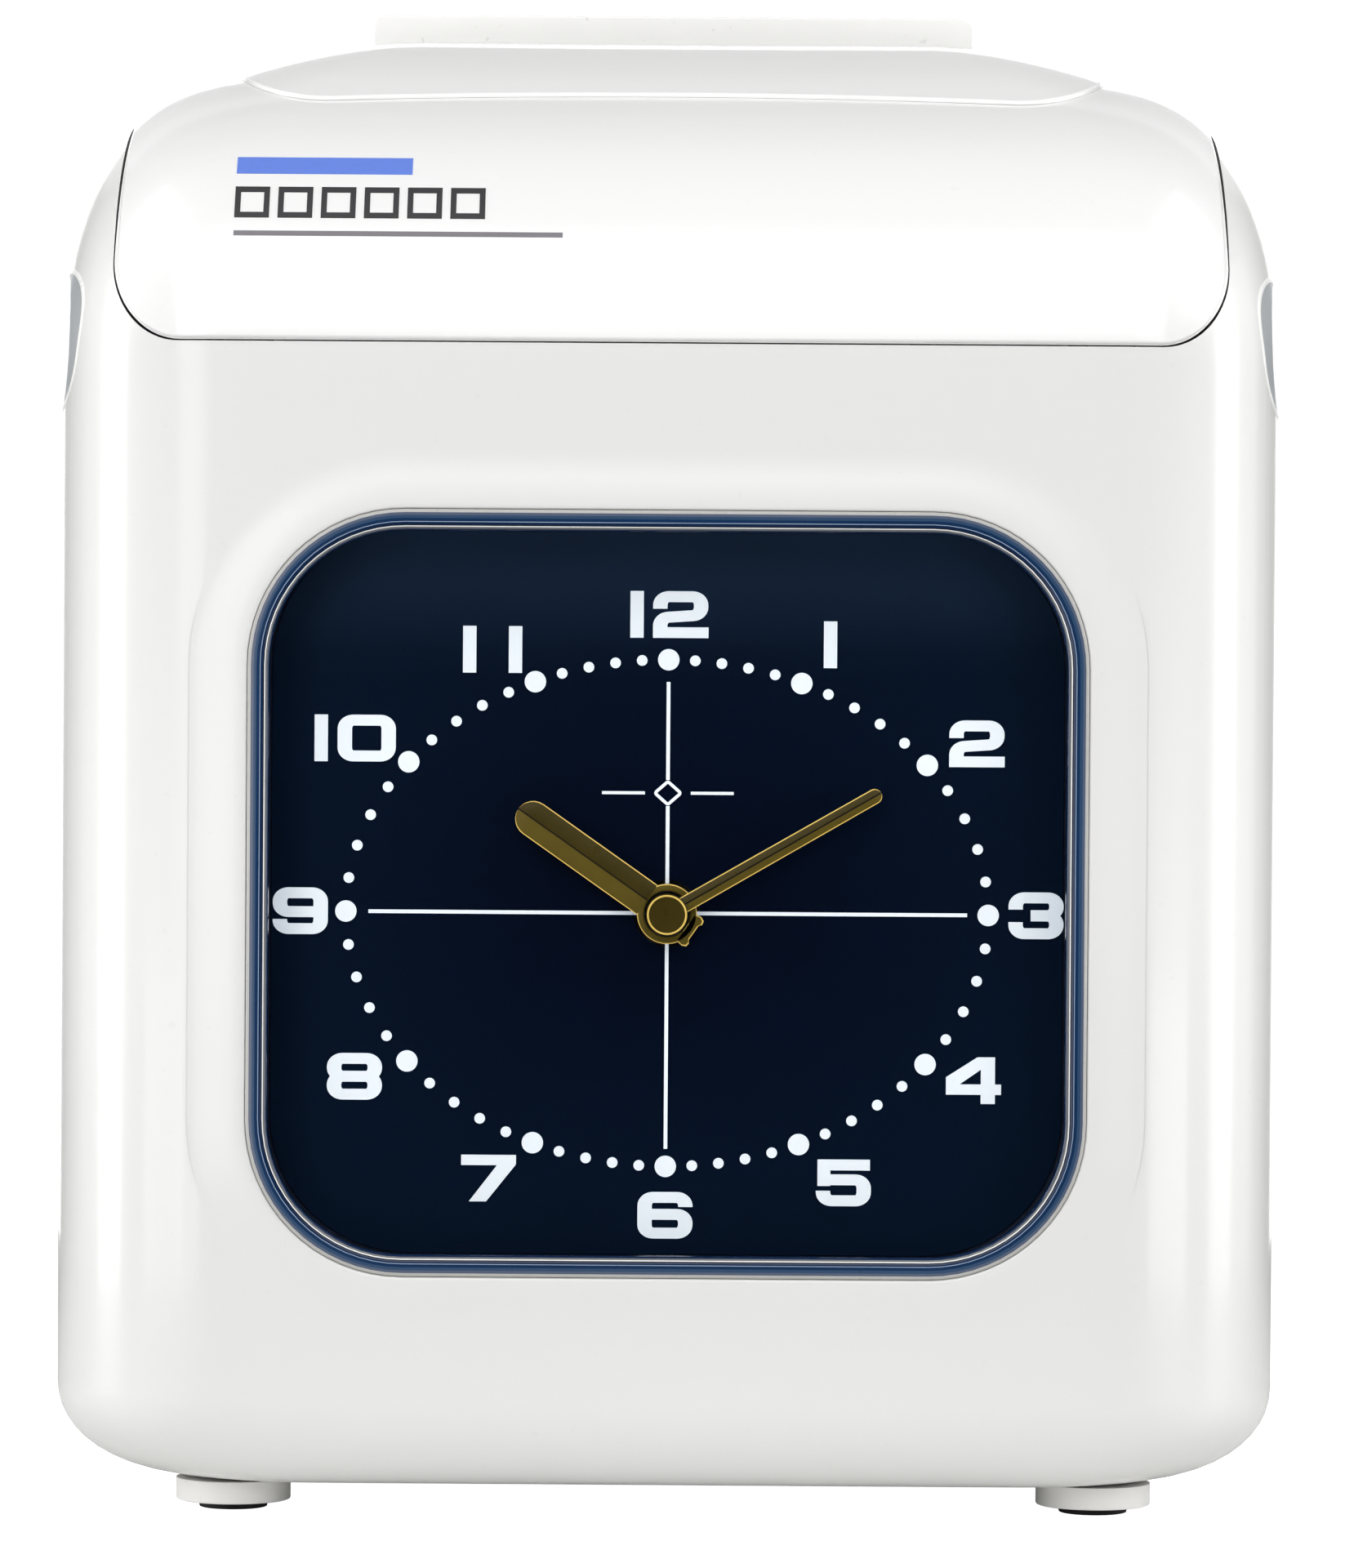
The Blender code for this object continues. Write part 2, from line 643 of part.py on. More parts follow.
def make_dial(tray_plastic, dial_paint):
    outer = rounded_outline((0.0, LENS_CENTRE_Z), mm(57.0, 52.8), 22.0 * MM, 6)
    tray = prism("dial_tray", outer, "Y", -61.6 * MM, -52.6 * MM, tray_plastic)
    inner = rounded_outline((0.0, LENS_CENTRE_Z), mm(52.2, 47.9), 18.5 * MM, 6)
    cut(tray, prism("hollow", inner, "Y", -70 * MM, -54.2 * MM))
    cut(tray, cylinder("hole", "Y", (0.0, DIAL_Z), 4.4 * MM, -60 * MM, -50 * MM))
    settle(tray, 35)
    face = rounded_outline((0.0, LENS_CENTRE_Z), mm(51.8, 47.5), 18.2 * MM, 6)
    dial = prism("dial_plate", face, "Y", DIAL_FRONT, -54.5 * MM, dial_paint)
    cut(dial, cylinder("hole", "Y", (0.0, DIAL_Z), 4.4 * MM, -60 * MM, -50 * MM))
    settle(dial)


def make_movement(plastic):
    block = rounded_outline((0.0, DIAL_Z), mm(28, 28), 3.0 * MM, 3)
    movement = prism("clock_movement", block, "Y", -52.2 * MM, -37 * MM, plastic)
    join(movement, cylinder("neck", "Y", (0.0, DIAL_Z), 3.9 * MM, -56.4 * MM, -50 * MM))
    cut(movement, cylinder("bore", "Y", (0.0, DIAL_Z), 2.9 * MM, -60 * MM, -44 * MM, segments=24))
    settle(movement, 35)


def hand_outline(length, root_half, tip_half, hub, tail):
    """A round-ended hand pointing up, with a round hub and a short tail lobe."""
    outline = []
    for step in range(7):
        angle = math.pi * step / 6
        outline.append((tip_half * math.cos(angle), length - tip_half + tip_half * math.sin(angle)))
    reach = math.sqrt(hub * hub - root_half * root_half)
    start = math.atan2(reach, -root_half)
    sweep = 2.0 * math.pi - 2.0 * math.atan2(root_half, reach)
    for step in range(17):
        angle = start + sweep * step / 16
        radius = hub
        if abs(angle - 1.5 * math.pi) < 0.3:
            radius = tail
        outline.append((radius * math.cos(angle), radius * math.sin(angle)))
    return outline


def turn_clockwise(outline, angle):
    """Turn an outline about the dial's centre, clockwise for someone facing the dial."""
    cosine, sine = math.cos(angle), math.sin(angle)
    return [(x * cosine + z * sine, DIAL_Z - x * sine + z * cosine) for x, z in outline]


def make_hands(gold):
    centre = (0.0, DIAL_Z)
    origin = (0.0, DIAL_FRONT, DIAL_Z)
    outline = hand_outline(HOUR_LENGTH, HOUR_WIDTH / 2, HOUR_WIDTH / 2, 3.9 * MM, 4.8 * MM)
    hour = prism("hour_hand", turn_clockwise(outline, HOUR_ANGLE), "Y", -58.3 * MM, -57.6 * MM, gold)
    join(hour, cylinder("collet", "Y", centre, 2.8 * MM, -57.9 * MM, -50 * MM, segments=24))
    cut(hour, cylinder("bore", "Y", centre, 1.7 * MM, -62 * MM, -48 * MM))
    seat(hour, origin, 35)
    outline = hand_outline(MINUTE_LENGTH, MINUTE_WIDTH / 2, 0.975 * MM, 2.9 * MM, 2.9 * MM)
    face = turn_clockwise(outline, MINUTE_ANGLE)
    minute = prism("minute_hand", face, "Y", -60.1 * MM, -59.5 * MM, gold)
    join(minute, cylinder("arbor", "Y", centre, 1.6 * MM, -59.8 * MM, -46 * MM))
    seat(minute, origin, 35)
    profile = [(2.7 * MM, -60.4 * MM), (2.7 * MM, -61.2 * MM), (2.2 * MM, -61.7 * MM)]
    seat(turned("hand_cap", "Y", centre, profile, gold, 24), origin, 35)


# ---------------------------------------------------------------- chassis and card channel
def make_chassis(steel):
    chassis = box("chassis", mm(-60, -34, 6.8), mm(60, 60, 8.0), steel)
    for side in (-1, 1):
        plate = box("plate", *ordered((side * SIDE_PLATE_INNER, -30 * MM, 7.4 * MM),
                                      (side * SIDE_PLATE_OUTER, 22 * MM, 176 * MM)))
        join(chassis, plate)
    through = (-60 * MM, 60 * MM)
    for place_y in (RAIL_FRONT_Y, RAIL_REAR_Y):
        cut(chassis, cylinder("hole", "X", (place_y, RAIL_Z), RAIL_RADIUS + 0.1 * MM, *through))
    cut(chassis, cylinder("hole", "X", (FEED_Y, FEED_Z), FEED_SHAFT_RADIUS + 0.1 * MM, *through))
    cut(chassis, cylinder("hole", "X", (PINCH_Y, FEED_Z), PINCH_SHAFT_RADIUS + 0.1 * MM, *through))
    motor_y, motor_z = pinion_centre()
    cut(chassis, cylinder("hole", "X", (motor_y, motor_z), 3.0 * MM, 30 * MM, 60 * MM))
    return settle(chassis)


def make_mechanism_plate(steel):
    plate = box("mechanism_plate", mm(-51.7, -27.6, 134), mm(51.7, -26.6, 166), steel)
    cut(plate, cylinder("hole", "Y", (-PULLEY_X, PULLEY_Z), 3.0 * MM, -30 * MM, -20 * MM))
    join(plate, cylinder("stub", "Y", (PULLEY_X, PULLEY_Z), 1.5 * MM, -27 * MM, -22.3 * MM))
    return settle(plate)


def make_card_channel(plastic, rubber):
    low, high = CHANNEL_BOTTOM, CHANNEL_TOP
    front_face = CHANNEL_FRONT - CHANNEL_PLATE
    half = SIDE_PLATE_INNER - GAP
    front = box("card_channel_front", (-half, front_face, low), (half, CHANNEL_FRONT, high), plastic)
    for side in (-1, 1):
        rib = ordered((side * CHANNEL_HALF, CHANNEL_FRONT - 0.4 * MM, low),
                      (side * (CHANNEL_HALF + 1.7 * MM), CHANNEL_REAR - GAP, high))
        join(front, box("rib", *rib))
        roller = ordered(mm(side * 13, 0, 113.5), mm(side * 27, 8, 128.5))
        cut(front, box("roller_window", *roller))
    cut(front, box("print_window", mm(-43.5, 0, 152.5), mm(43.5, 8, 163.5)))
    settle(front)
    rear_face = CHANNEL_REAR + CHANNEL_PLATE
    rear = box("card_channel_rear", (-half, CHANNEL_REAR, low), (half, rear_face, high), plastic)
    cut(rear, box("platen_window", mm(-45.3, 8, 152.7), mm(45.3, 14, 163.3)))
    for side in (-1, 1):
        roller = ordered(mm(side * 14, 8, 116), mm(side * 26, 14, 126))
        cut(rear, box("pinch_window", *roller))
    settle(rear)
    settle(box("platen", mm(-45, 10, 153), mm(45, 15, 163), rubber))
    settle(box("card_stop", mm(-40, 4.6, 12), mm(40, 9.6, 15.6), plastic))


# ---------------------------------------------------------------- card feed
def pinion_centre():
    distance = GEAR_MODULE * (GEAR_TEETH + PINION_TEETH) / 2
    offset = distance * math.sqrt(0.5)
    return FEED_Y - offset, FEED_Z - offset


def gear_outline(centre, teeth, phase):
    """Straight-flanked teeth with a little backlash. Phase is the angle of one tooth's middle."""
    pitch_radius = GEAR_MODULE * teeth / 2
    pitch = 2.0 * math.pi / teeth
    tip = pitch_radius + 0.85 * GEAR_MODULE
    root = pitch_radius - 1.15 * GEAR_MODULE
    flank = ((root, -0.34), (tip, -0.13), (tip, 0.13), (root, 0.34))
    outline = []
    for tooth in range(teeth):
        for radius, share in flank:
            angle = phase + pitch * (tooth + share)
            outline.append((centre[0] + radius * math.cos(angle), centre[1] + radius * math.sin(angle)))
    return outline


def make_feed(steel, rubber, plastic, dark):
    reach = SIDE_PLATE_OUTER + 0.8 * MM
    centre = (FEED_Y, FEED_Z)
    profile = [
        (FEED_SHAFT_RADIUS, -reach), (FEED_SHAFT_RADIUS, -26 * MM),
        (FEED_RADIUS, -26 * MM), (FEED_RADIUS, -14 * MM),
        (FEED_SHAFT_RADIUS, -14 * MM), (FEED_SHAFT_RADIUS, 14 * MM),
        (FEED_RADIUS, 14 * MM), (FEED_RADIUS, 26 * MM),
        (FEED_SHAFT_RADIUS, 26 * MM), (FEED_SHAFT_RADIUS, GEAR_X[1] + 0.8 * MM),
    ]
    seat(turned("feed_roller", "X", centre, profile, rubber, 24), (0.0, *centre), 35)
    toward_pinion = math.radians(225.0)
    gear = prism("feed_gear", gear_outline(centre, GEAR_TEETH, toward_pinion), "X", *GEAR_X, plastic)
    cut(gear, cylinder("bore", "X", centre, FEED_SHAFT_RADIUS + 0.1 * MM, 40 * MM, 70 * MM, segments=16))
    seat(gear, (GEAR_X[0], *centre))
    motor = pinion_centre()
    toward_gear = math.radians(45.0) + math.pi / PINION_TEETH
    pinion = prism("motor_pinion", gear_outline(motor, PINION_TEETH, toward_gear), "X", *GEAR_X, plastic)
    cut(pinion, cylinder("bore", "X", motor, 1.1 * MM, 40 * MM, 70 * MM, segments=16))
    seat(pinion, (GEAR_X[0], *motor))
    body = [
        (11 * MM, 29 * MM), (11 * MM, 51.6 * MM),
        (2.5 * MM, 51.6 * MM), (2.5 * MM, 53.2 * MM),
        (1.0 * MM, 53.2 * MM), (1.0 * MM, 57.6 * MM),
    ]
    settle(turned("feed_motor", "X", motor, body, dark, 20), 35)
    centre = (PINCH_Y, FEED_Z)
    profile = [
        (PINCH_SHAFT_RADIUS, -reach), (PINCH_SHAFT_RADIUS, -25 * MM),
        (PINCH_RADIUS, -25 * MM), (PINCH_RADIUS, -15 * MM),
        (PINCH_SHAFT_RADIUS, -15 * MM), (PINCH_SHAFT_RADIUS, 15 * MM),
        (PINCH_RADIUS, 15 * MM), (PINCH_RADIUS, 25 * MM),
        (PINCH_SHAFT_RADIUS, 25 * MM), (PINCH_SHAFT_RADIUS, reach),
    ]
    seat(turned("pinch_roller", "X", centre, profile, steel, 20), (0.0, *centre), 35)


# ---------------------------------------------------------------- printer
def make_printer(steel, plastic, dark, rubber):
    reach = SIDE_PLATE_OUTER + 0.8 * MM
    rails = (("front", RAIL_FRONT_Y), ("rear", RAIL_REAR_Y))
    for word, place_y in rails:
        rail = cylinder(f"carriage_rail_{word}", "X", (place_y, RAIL_Z), RAIL_RADIUS, -reach, reach, steel)
        settle(rail, 35)
    carriage = box("print_carriage", mm(-12, -20.5, 143), mm(12, -1.5, 152), plastic)
    join(carriage, box("clamp_top", mm(-5, -25.9, 153.6), mm(5, -21, 155)))
    join(carriage, box("clamp_low", mm(-5, -25.9, 150.2), mm(5, -19, 151.9)))
    join(carriage, box("clamp_post", mm(-5, -22.6, 150.8), mm(5, -20, 154.6)))
    for word, place_y in rails:
        centre = (place_y, RAIL_Z)
        cut(carriage, cylinder("bore", "X", centre, RAIL_RADIUS + 0.1 * MM, -20 * MM, 20 * MM))
    seat(carriage, (0.0, RAIL_FRONT_Y, RAIL_Z))
    head = box("print_head", mm(-11, -19, 152.3), mm(11, -3, 168), dark)
    for fin in range(4):
        low = 156.5 + 3 * fin
        cut(head, box("fin_gap", mm(-12, -20, low), mm(12, -14, low + 1.4)))
    join(head, box("nose", mm(-3, -4, 155), mm(3, 1.6, 161)))
    seat(head, (0.0, RAIL_FRONT_Y, RAIL_Z))
    body = [
        (9 * MM, -45 * MM), (9 * MM, -27.9 * MM),
        (1.0 * MM, -27.9 * MM), (1.0 * MM, -22.4 * MM),
    ]
    settle(turned("carriage_motor", "Y", (-PULLEY_X, PULLEY_Z), body, dark, 20), 35)
    for word, place_x, bore in (("drive", -PULLEY_X, 1.1 * MM), ("idler", PULLEY_X, 1.6 * MM)):
        profile = [
            (bore, -26.3 * MM), (7 * MM, -26.3 * MM),
            (7 * MM, -25.9 * MM), (PULLEY_RADIUS, -25.9 * MM),
            (PULLEY_RADIUS, -22.8 * MM), (bore, -22.8 * MM),
        ]
        centre = (place_x, PULLEY_Z)
        pulley = turned(f"{word}_pulley", "Y", centre, profile, plastic, 20, hollow=True)
        seat(pulley, (place_x, -26.3 * MM, PULLEY_Z), 35)
    belt = prism("timing_belt", belt_outline(BELT_OUTER), "Y", -25.5 * MM, -23.2 * MM, rubber)
    cut(belt, prism("inside", belt_outline(BELT_INNER), "Y", -30 * MM, -20 * MM))
    settle(belt, 35)


def belt_outline(radius):
    """Two half circles round the pulleys, joined by straight runs."""
    outline = []
    for start, place_x in ((-90, PULLEY_X), (90, -PULLEY_X)):
        for step in range(13):
            angle = math.radians(start + 180.0 * step / 12)
            outline.append((place_x + radius * math.cos(angle), PULLEY_Z + radius * math.sin(angle)))
    return outline


def make_ribbon(plastic, ink):
    cassette = box("ribbon_cassette", mm(-50, -38, 169.5), mm(50, -2, 178.5), plastic)
    for side in (-1, 1):
        arm = ordered(mm(side * 46.5, -6, 153), mm(side * 50, 2.6, 170))
        join(cassette, box("arm", *arm))
    cut(cassette, box("knob_room", mm(24, -30, 176.5), mm(40, -14, 190)))
    join(cassette, cylinder("knob", "Z", mm(32, -22), 6 * MM, 176 * MM, 180.5 * MM, segments=12))
    settle(cassette)
    settle(box("ink_ribbon", mm(-46.2, 2.0, 154), mm(46.2, 2.3, 162), ink))


def make_electronics(board, steel, battery):
    main = box("main_board", mm(-60, 46, 60), mm(60, 47.6, 165), board)
    chips = (
        (-30, 120, 12, 8),
        (20, 128, 9, 9),
        (30, 90, 14, 5),
        (-20, 84, 8, 5),
        (46, 146, 6, 6),
    )
    for x, z, half_x, half_z in chips:
        low, high = mm(x - half_x, 43, z - half_z), mm(x + half_x, 46.4, z + half_z)
        join(main, box("chip", low, high))
    settle(main)
    core = box("transformer", mm(-58, 26, 8.4), mm(-22, 56, 40), steel)
    join(core, box("winding", mm(-52, 22, 14), mm(-28, 60, 34)))
    settle(core)
    settle(box("backup_battery", mm(-14, 28, 8.4), mm(30, 44, 24), battery))


def make_keys(panel_plastic, key_plastic):
    panel = box("key_panel", mm(-50, -61, 150), mm(50, -47, 152), panel_plastic)
    for place_x in KEY_X:
        cut(panel, cylinder("hole", "Z", (place_x, KEY_Y), 2.3 * MM, 140 * MM, 160 * MM, segments=16))
    settle(panel)
    for number, place_x in enumerate(KEY_X, start=1):
        cap = rounded_outline((place_x, KEY_Y), mm(5.5, 4.0), 1.5 * MM, 3)
        key = prism(f"setting_key_{number}", cap, "Z", 153.6 * MM, 156.6 * MM, key_plastic)
        stem = cylinder("stem", "Z", (place_x, KEY_Y), 2.0 * MM, 148 * MM, 154 * MM, segments=16)
        join(key, stem)
        seat(key, (place_x, KEY_Y, 153.6 * MM))


def make_all():
    clear_scene()
    white = material("white_gloss_plastic", (0.82, 0.82, 0.81), 0.25)
    guide_white = material("guide_plastic", (0.88, 0.88, 0.86), 0.45)
    foot_white = material("foot_plastic", (0.68, 0.67, 0.65), 0.5)
    rubber = material("black_rubber", (0.02, 0.02, 0.02), 0.85)
    clear_plastic = material("clear_plastic", (0.95, 0.97, 1.0), 0.03, alpha=0.3)
    navy = material("navy_plastic", (0.02, 0.05, 0.12), 0.4)
    dial_paint = material("dial_paint", (0.003, 0.006, 0.02), 0.5)
    gold = material("polished_gold", (0.5, 0.36, 0.06), 0.2, 1.0)
    dish_grey = material("grey_plastic", (0.5, 0.52, 0.53), 0.35)
    steel = material("zinc_steel", (0.6, 0.6, 0.6), 0.35, 1.0)
    inner_grey = material("inner_plastic", (0.25, 0.26, 0.27), 0.55)
    black = material("black_plastic", (0.03, 0.03, 0.03), 0.5)
    ink = material("ribbon_fabric", (0.02, 0.02, 0.03), 0.9)
    green = material("circuit_board", (0.02, 0.16, 0.06), 0.45)
    blue = material("battery_sleeve", (0.05, 0.12, 0.3), 0.4)
    make_front_housing(white)
    make_rear_housing(white)
    make_feet(foot_white, rubber)
    make_case_screws(steel)
    make_cord_gland(rubber)
    make_top_cover(white)
    make_slot_bezel(white)
    make_card_guide(guide_white)
    make_hinge_pins(steel)
    make_release_buttons(dish_grey, dish_grey)
    make_clock_lens(clear_plastic)
    make_dial(navy, dial_paint)
    make_movement(black)
    make_hands(gold)
    make_chassis(steel)
    make_mechanism_plate(steel)
    make_card_channel(inner_grey, rubber)
    make_feed(steel, rubber, inner_grey, black)
    make_printer(steel, inner_grey, black, rubber)
    make_ribbon(black, ink)
    make_electronics(green, steel, blue)
    make_keys(inner_grey, dish_grey)


make_all()
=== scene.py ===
import json
import math

import bmesh
import bpy
from mathutils import Matrix, Vector


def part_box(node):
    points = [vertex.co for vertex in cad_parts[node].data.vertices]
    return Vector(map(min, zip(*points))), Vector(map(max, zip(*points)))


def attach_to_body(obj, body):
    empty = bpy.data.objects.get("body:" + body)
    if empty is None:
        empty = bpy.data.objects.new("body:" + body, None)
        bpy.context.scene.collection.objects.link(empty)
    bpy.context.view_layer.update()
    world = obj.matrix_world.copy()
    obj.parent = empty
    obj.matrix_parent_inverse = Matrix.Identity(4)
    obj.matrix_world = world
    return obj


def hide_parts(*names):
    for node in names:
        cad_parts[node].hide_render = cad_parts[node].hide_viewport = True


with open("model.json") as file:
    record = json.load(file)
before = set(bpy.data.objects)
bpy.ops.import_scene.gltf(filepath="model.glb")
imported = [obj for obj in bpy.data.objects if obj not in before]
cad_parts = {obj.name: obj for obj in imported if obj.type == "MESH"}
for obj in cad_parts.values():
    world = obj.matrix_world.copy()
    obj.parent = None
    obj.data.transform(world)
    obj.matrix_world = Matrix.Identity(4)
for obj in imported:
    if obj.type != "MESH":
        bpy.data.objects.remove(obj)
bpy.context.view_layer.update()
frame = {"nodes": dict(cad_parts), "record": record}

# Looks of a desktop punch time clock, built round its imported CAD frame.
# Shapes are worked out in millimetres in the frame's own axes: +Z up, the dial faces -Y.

MM = 0.001


def place(node):
    """A CAD node's lowest and highest corners, in millimetres."""
    low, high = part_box(node)
    return low / MM, high / MM


def box_middle(low, high, axes):
    """The middle of a box, seen along the third axis."""
    return tuple((getattr(low, axis) + getattr(high, axis)) / 2 for axis in axes)


# ---------------------------------------------------------------- sizes that follow the frame
HOUSING_LOW, HOUSING_HIGH = place("front_housing")
REAR_LOW, REAR_HIGH = place("rear_housing")
COVER_LOW, COVER_HIGH = place("top_cover")
LENS_LOW, LENS_HIGH = place("clock_lens")
DIAL_LOW, DIAL_HIGH = place("dial_plate")
CAP_LOW, CAP_HIGH = place("hand_cap")
FLANGE = 2.5
BODY_HALF_WIDTH = HOUSING_HIGH.x
BODY_FRONT = HOUSING_LOW.y
BODY_REAR = REAR_HIGH.y
BODY_BOTTOM = REAR_LOW.z
BODY_TOP = 192.0
SPLIT_Y = HOUSING_HIGH.y
WALL = 2.2
GAP = 0.3
SEAM = 0.35
FAR = 120.0

# The body's rounded form: where each rounding starts and how far it draws in.
LOW_START = 16.2
LOW_SIDE, LOW_FRONT, LOW_REAR = 16.0, 10.0, 5.0
HIGH_START = 150.0
HIGH_SIDE, HIGH_FRONT = 22.4, 64.0
HIGH_REAR_START, HIGH_REAR = 176.0, 14.0
HIGH_EXPONENT = 2.2
CORNER_FRONT = (22.0, 26.0)
CORNER_REAR = (9.0, 9.0)
CORNER_EXPONENT = 2.3

COVER_PROUD = 0.4
COVER_HALF = COVER_HIGH.x
COVER_BOTTOM = COVER_LOW.z
COVER_CORNER = (9.0, 10.6)
COVER_REAR = 45.7
COVER_THICK = WALL + COVER_PROUD
HINGE_Y, HINGE_Z = 46.0, 190.7
BARREL_RADIUS, BARREL_HALF, PIN_RADIUS = 1.6, 62.0, 0.7

LENS_CENTRE_Z = (LENS_LOW.z + LENS_HIGH.z) / 2
LENS_HALF = (LENS_HIGH.x - FLANGE, LENS_HIGH.z - LENS_CENTRE_Z - FLANGE - 0.5)
LENS_CORNER = 20.0
DIAL_Z = (CAP_LOW.z + CAP_HIGH.z) / 2
DIAL_FACE_Y = DIAL_LOW.y
HOUR_ANGLE, MINUTE_ANGLE = 305.0, 60.0

BUTTON_Y, BUTTON_Z = -43.0, 153.3
DISH_HALF = (12.2, 9.3)
BUTTON_HALF = (4.2, 4.5)
BUTTON_FACE = place("release_button_right")[1].x

CAP_HALF_WIDTH = 58.8
CAP_FRONT, CAP_REAR = -39.9, 21.0
CAP_BOW = 2.3
CAP_LIP, CAP_ROUND = 0.75, 0.4
CAP_TOP = 196.8
CAP_TOP_HALF_WIDTH = 40.0
CAP_TOP_FRONT, CAP_TOP_DEPTH = -2.7, 19.2


# ---------------------------------------------------------------- mesh tools
class Shape:
    """Points in millimetres, and faces that each carry the number of a finish."""

    def __init__(self):
        self.points = []
        self.faces = []
        self.marks = []

    def add(self, ring):
        first = len(self.points)
        self.points += [tuple(point) for point in ring]
        return list(range(first, len(self.points)))

    def face(self, corners, mark=0):
        self.faces.append(tuple(corners))
        self.marks.append(mark)

    def band(self, lower, upper, mark=0, closed=True):
        count = len(lower)
        for index in range(count if closed else count - 1):
            following = (index + 1) % count
            self.face((lower[index], lower[following], upper[following], upper[index]), mark)

    def loft(self, rings, marks=None, closed=False, ends=True):
        """Skin rings of equal length. Marks gives one finish number to each band."""
        stack = [self.add(ring) for ring in rings]
        pairs = list(zip(stack, stack[1:]))
        if closed:
            pairs.append((stack[-1], stack[0]))
        marks = marks or [0] * len(pairs)
        for (lower, upper), mark in zip(pairs, marks):
            self.band(lower, upper, mark)
        if ends and not closed:
            self.face(stack[0], marks[0])
            self.face(stack[-1], marks[-1])
        return stack

    def make(self, name, *finishes, smooth=35.0):
        mesh = bpy.data.meshes.new(name)
        mesh.from_pydata([[value * MM for value in point] for point in self.points], [], self.faces)
        for finish in finishes:
            mesh.materials.append(finish)
        mesh.polygons.foreach_set("material_index", self.marks)
        made = bpy.data.objects.new(name, mesh)
        bpy.context.scene.collection.objects.link(made)
        return tidy_mesh(made, smooth)


def lofted(name, rings, *finishes, marks=None, closed=False, smooth=35.0):
    """A piece skinned over rings of points."""
    shape = Shape()
    shape.loft(rings, marks, closed=closed)
    return shape.make(name, *finishes, smooth=smooth)


def tidy_mesh(piece, smooth=35.0, merge=1e-4):
    """Merge doubled points, turn the faces outward and mark the sharp edges."""
    shape = bmesh.new()
    shape.from_mesh(piece.data)
    bmesh.ops.remove_doubles(shape, verts=shape.verts, dist=merge * MM)
    bmesh.ops.recalc_face_normals(shape, faces=shape.faces)
    shape.to_mesh(piece.data)
    shape.free()
    piece.data.shade_smooth()
    piece.data.set_sharp_from_angle(angle=math.radians(smooth))
    return piece


def on_axis(axis, along, first, second):
    point = [first, second]
    point.insert("XYZ".index(axis), along)
    return tuple(point)


def upright(outline, y):
    """An (x, z) outline as a ring of points at one depth."""
    return [(x, y, z) for x, z in outline]


def prism(name, outline, axis, low, high, *finishes, smooth=35.0):
    rings = [[on_axis(axis, along, *point) for point in outline] for along in (low, high)]
    return lofted(name, rings, *finishes, smooth=smooth)


def box(name, low, high, *finishes):
    corners = ((low[0], low[1]), (high[0], low[1]), (high[0], high[1]), (low[0], high[1]))
    return prism(name, corners, "Z", low[2], high[2], *finishes)


def circle(centre, radius, steps=48):
    turn = 2.0 * math.pi / steps
    return [
        (centre[0] + radius * math.cos(turn * k), centre[1] + radius * math.sin(turn * k))
        for k in range(steps)
    ]


def cylinder(name, axis, centre, radius, low, high, *finishes, steps=48):
    return prism(name, circle(centre, radius, steps), axis, low, high, *finishes)


def turned(name, axis, centre, profile, *finishes, steps=64, closed=False, marks=None, smooth=35.0):
    """Turn (radius, place along the axis) points about an axis."""
    rings = [
        [on_axis(axis, along, *point) for point in circle(centre, radius, steps)]
        for radius, along in profile
    ]
    return lofted(name, rings, *finishes, marks=marks, closed=closed, smooth=smooth)


def combine(target, other, operation="DIFFERENCE"):
    modifier = target.modifiers.new("combine", "BOOLEAN")
    modifier.operation = operation
    modifier.solver = "EXACT"
    modifier.object = other
    view = bpy.context.evaluated_depsgraph_get()
    result = bpy.data.meshes.new_from_object(target.evaluated_get(view))
    target.modifiers.clear()
    target.data = result
    bpy.data.objects.remove(other)
    return target


def cut(target, *others):
    for other in others:
        combine(target, other)
    return target


def join(target, *others):
    for other in others:
        combine(target, other, "UNION")
    return target


def soften(piece, width, segments=2, angle=40.0):
    """Round the sharp edges of a finished piece and keep its large faces flat."""
    bevel = piece.modifiers.new("edges", "BEVEL")
    bevel.width = width * MM
    bevel.segments = segments
    bevel.limit_method = "ANGLE"
    bevel.angle_limit = math.radians(angle)
    bevel.use_clamp_overlap = True
    return flatten_shading(piece)


def flatten_shading(piece):
    normals = piece.modifiers.new("normals", "WEIGHTED_NORMAL")
    normals.keep_sharp = True
    normals.weight = 60
    return piece


def attach(piece, body, slot, *nodes):
    """Put a finished piece on its CAD body, in place of the nodes it stands for."""
    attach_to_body(piece, body)
    if nodes:
        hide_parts(*nodes)
    return piece


# ---------------------------------------------------------------- outlines
def corner_arc(centre, reach, start, exponent, steps):
    points = []
    for step in range(steps + 1):
        angle = math.radians(start + 90.0 * step / steps)
        across, up = math.cos(angle), math.sin(angle)
        points.append(
            (
                centre[0] + reach[0] * math.copysign(abs(across) ** (2.0 / exponent), across),
                centre[1] + reach[1] * math.copysign(abs(up) ** (2.0 / exponent), up),
            )
        )
    return points


def rounded_outline(centre, half, radius, steps=12, exponent=2.0):
    outline = []
    for start, across, up in ((0, 1, 1), (90, -1, 1), (180, -1, -1), (270, 1, -1)):
        corner = (centre[0] + across * (half[0] - radius), centre[1] + up * (half[1] - radius))
        outline += corner_arc(corner, (radius, radius), start, exponent, steps)
    return outline


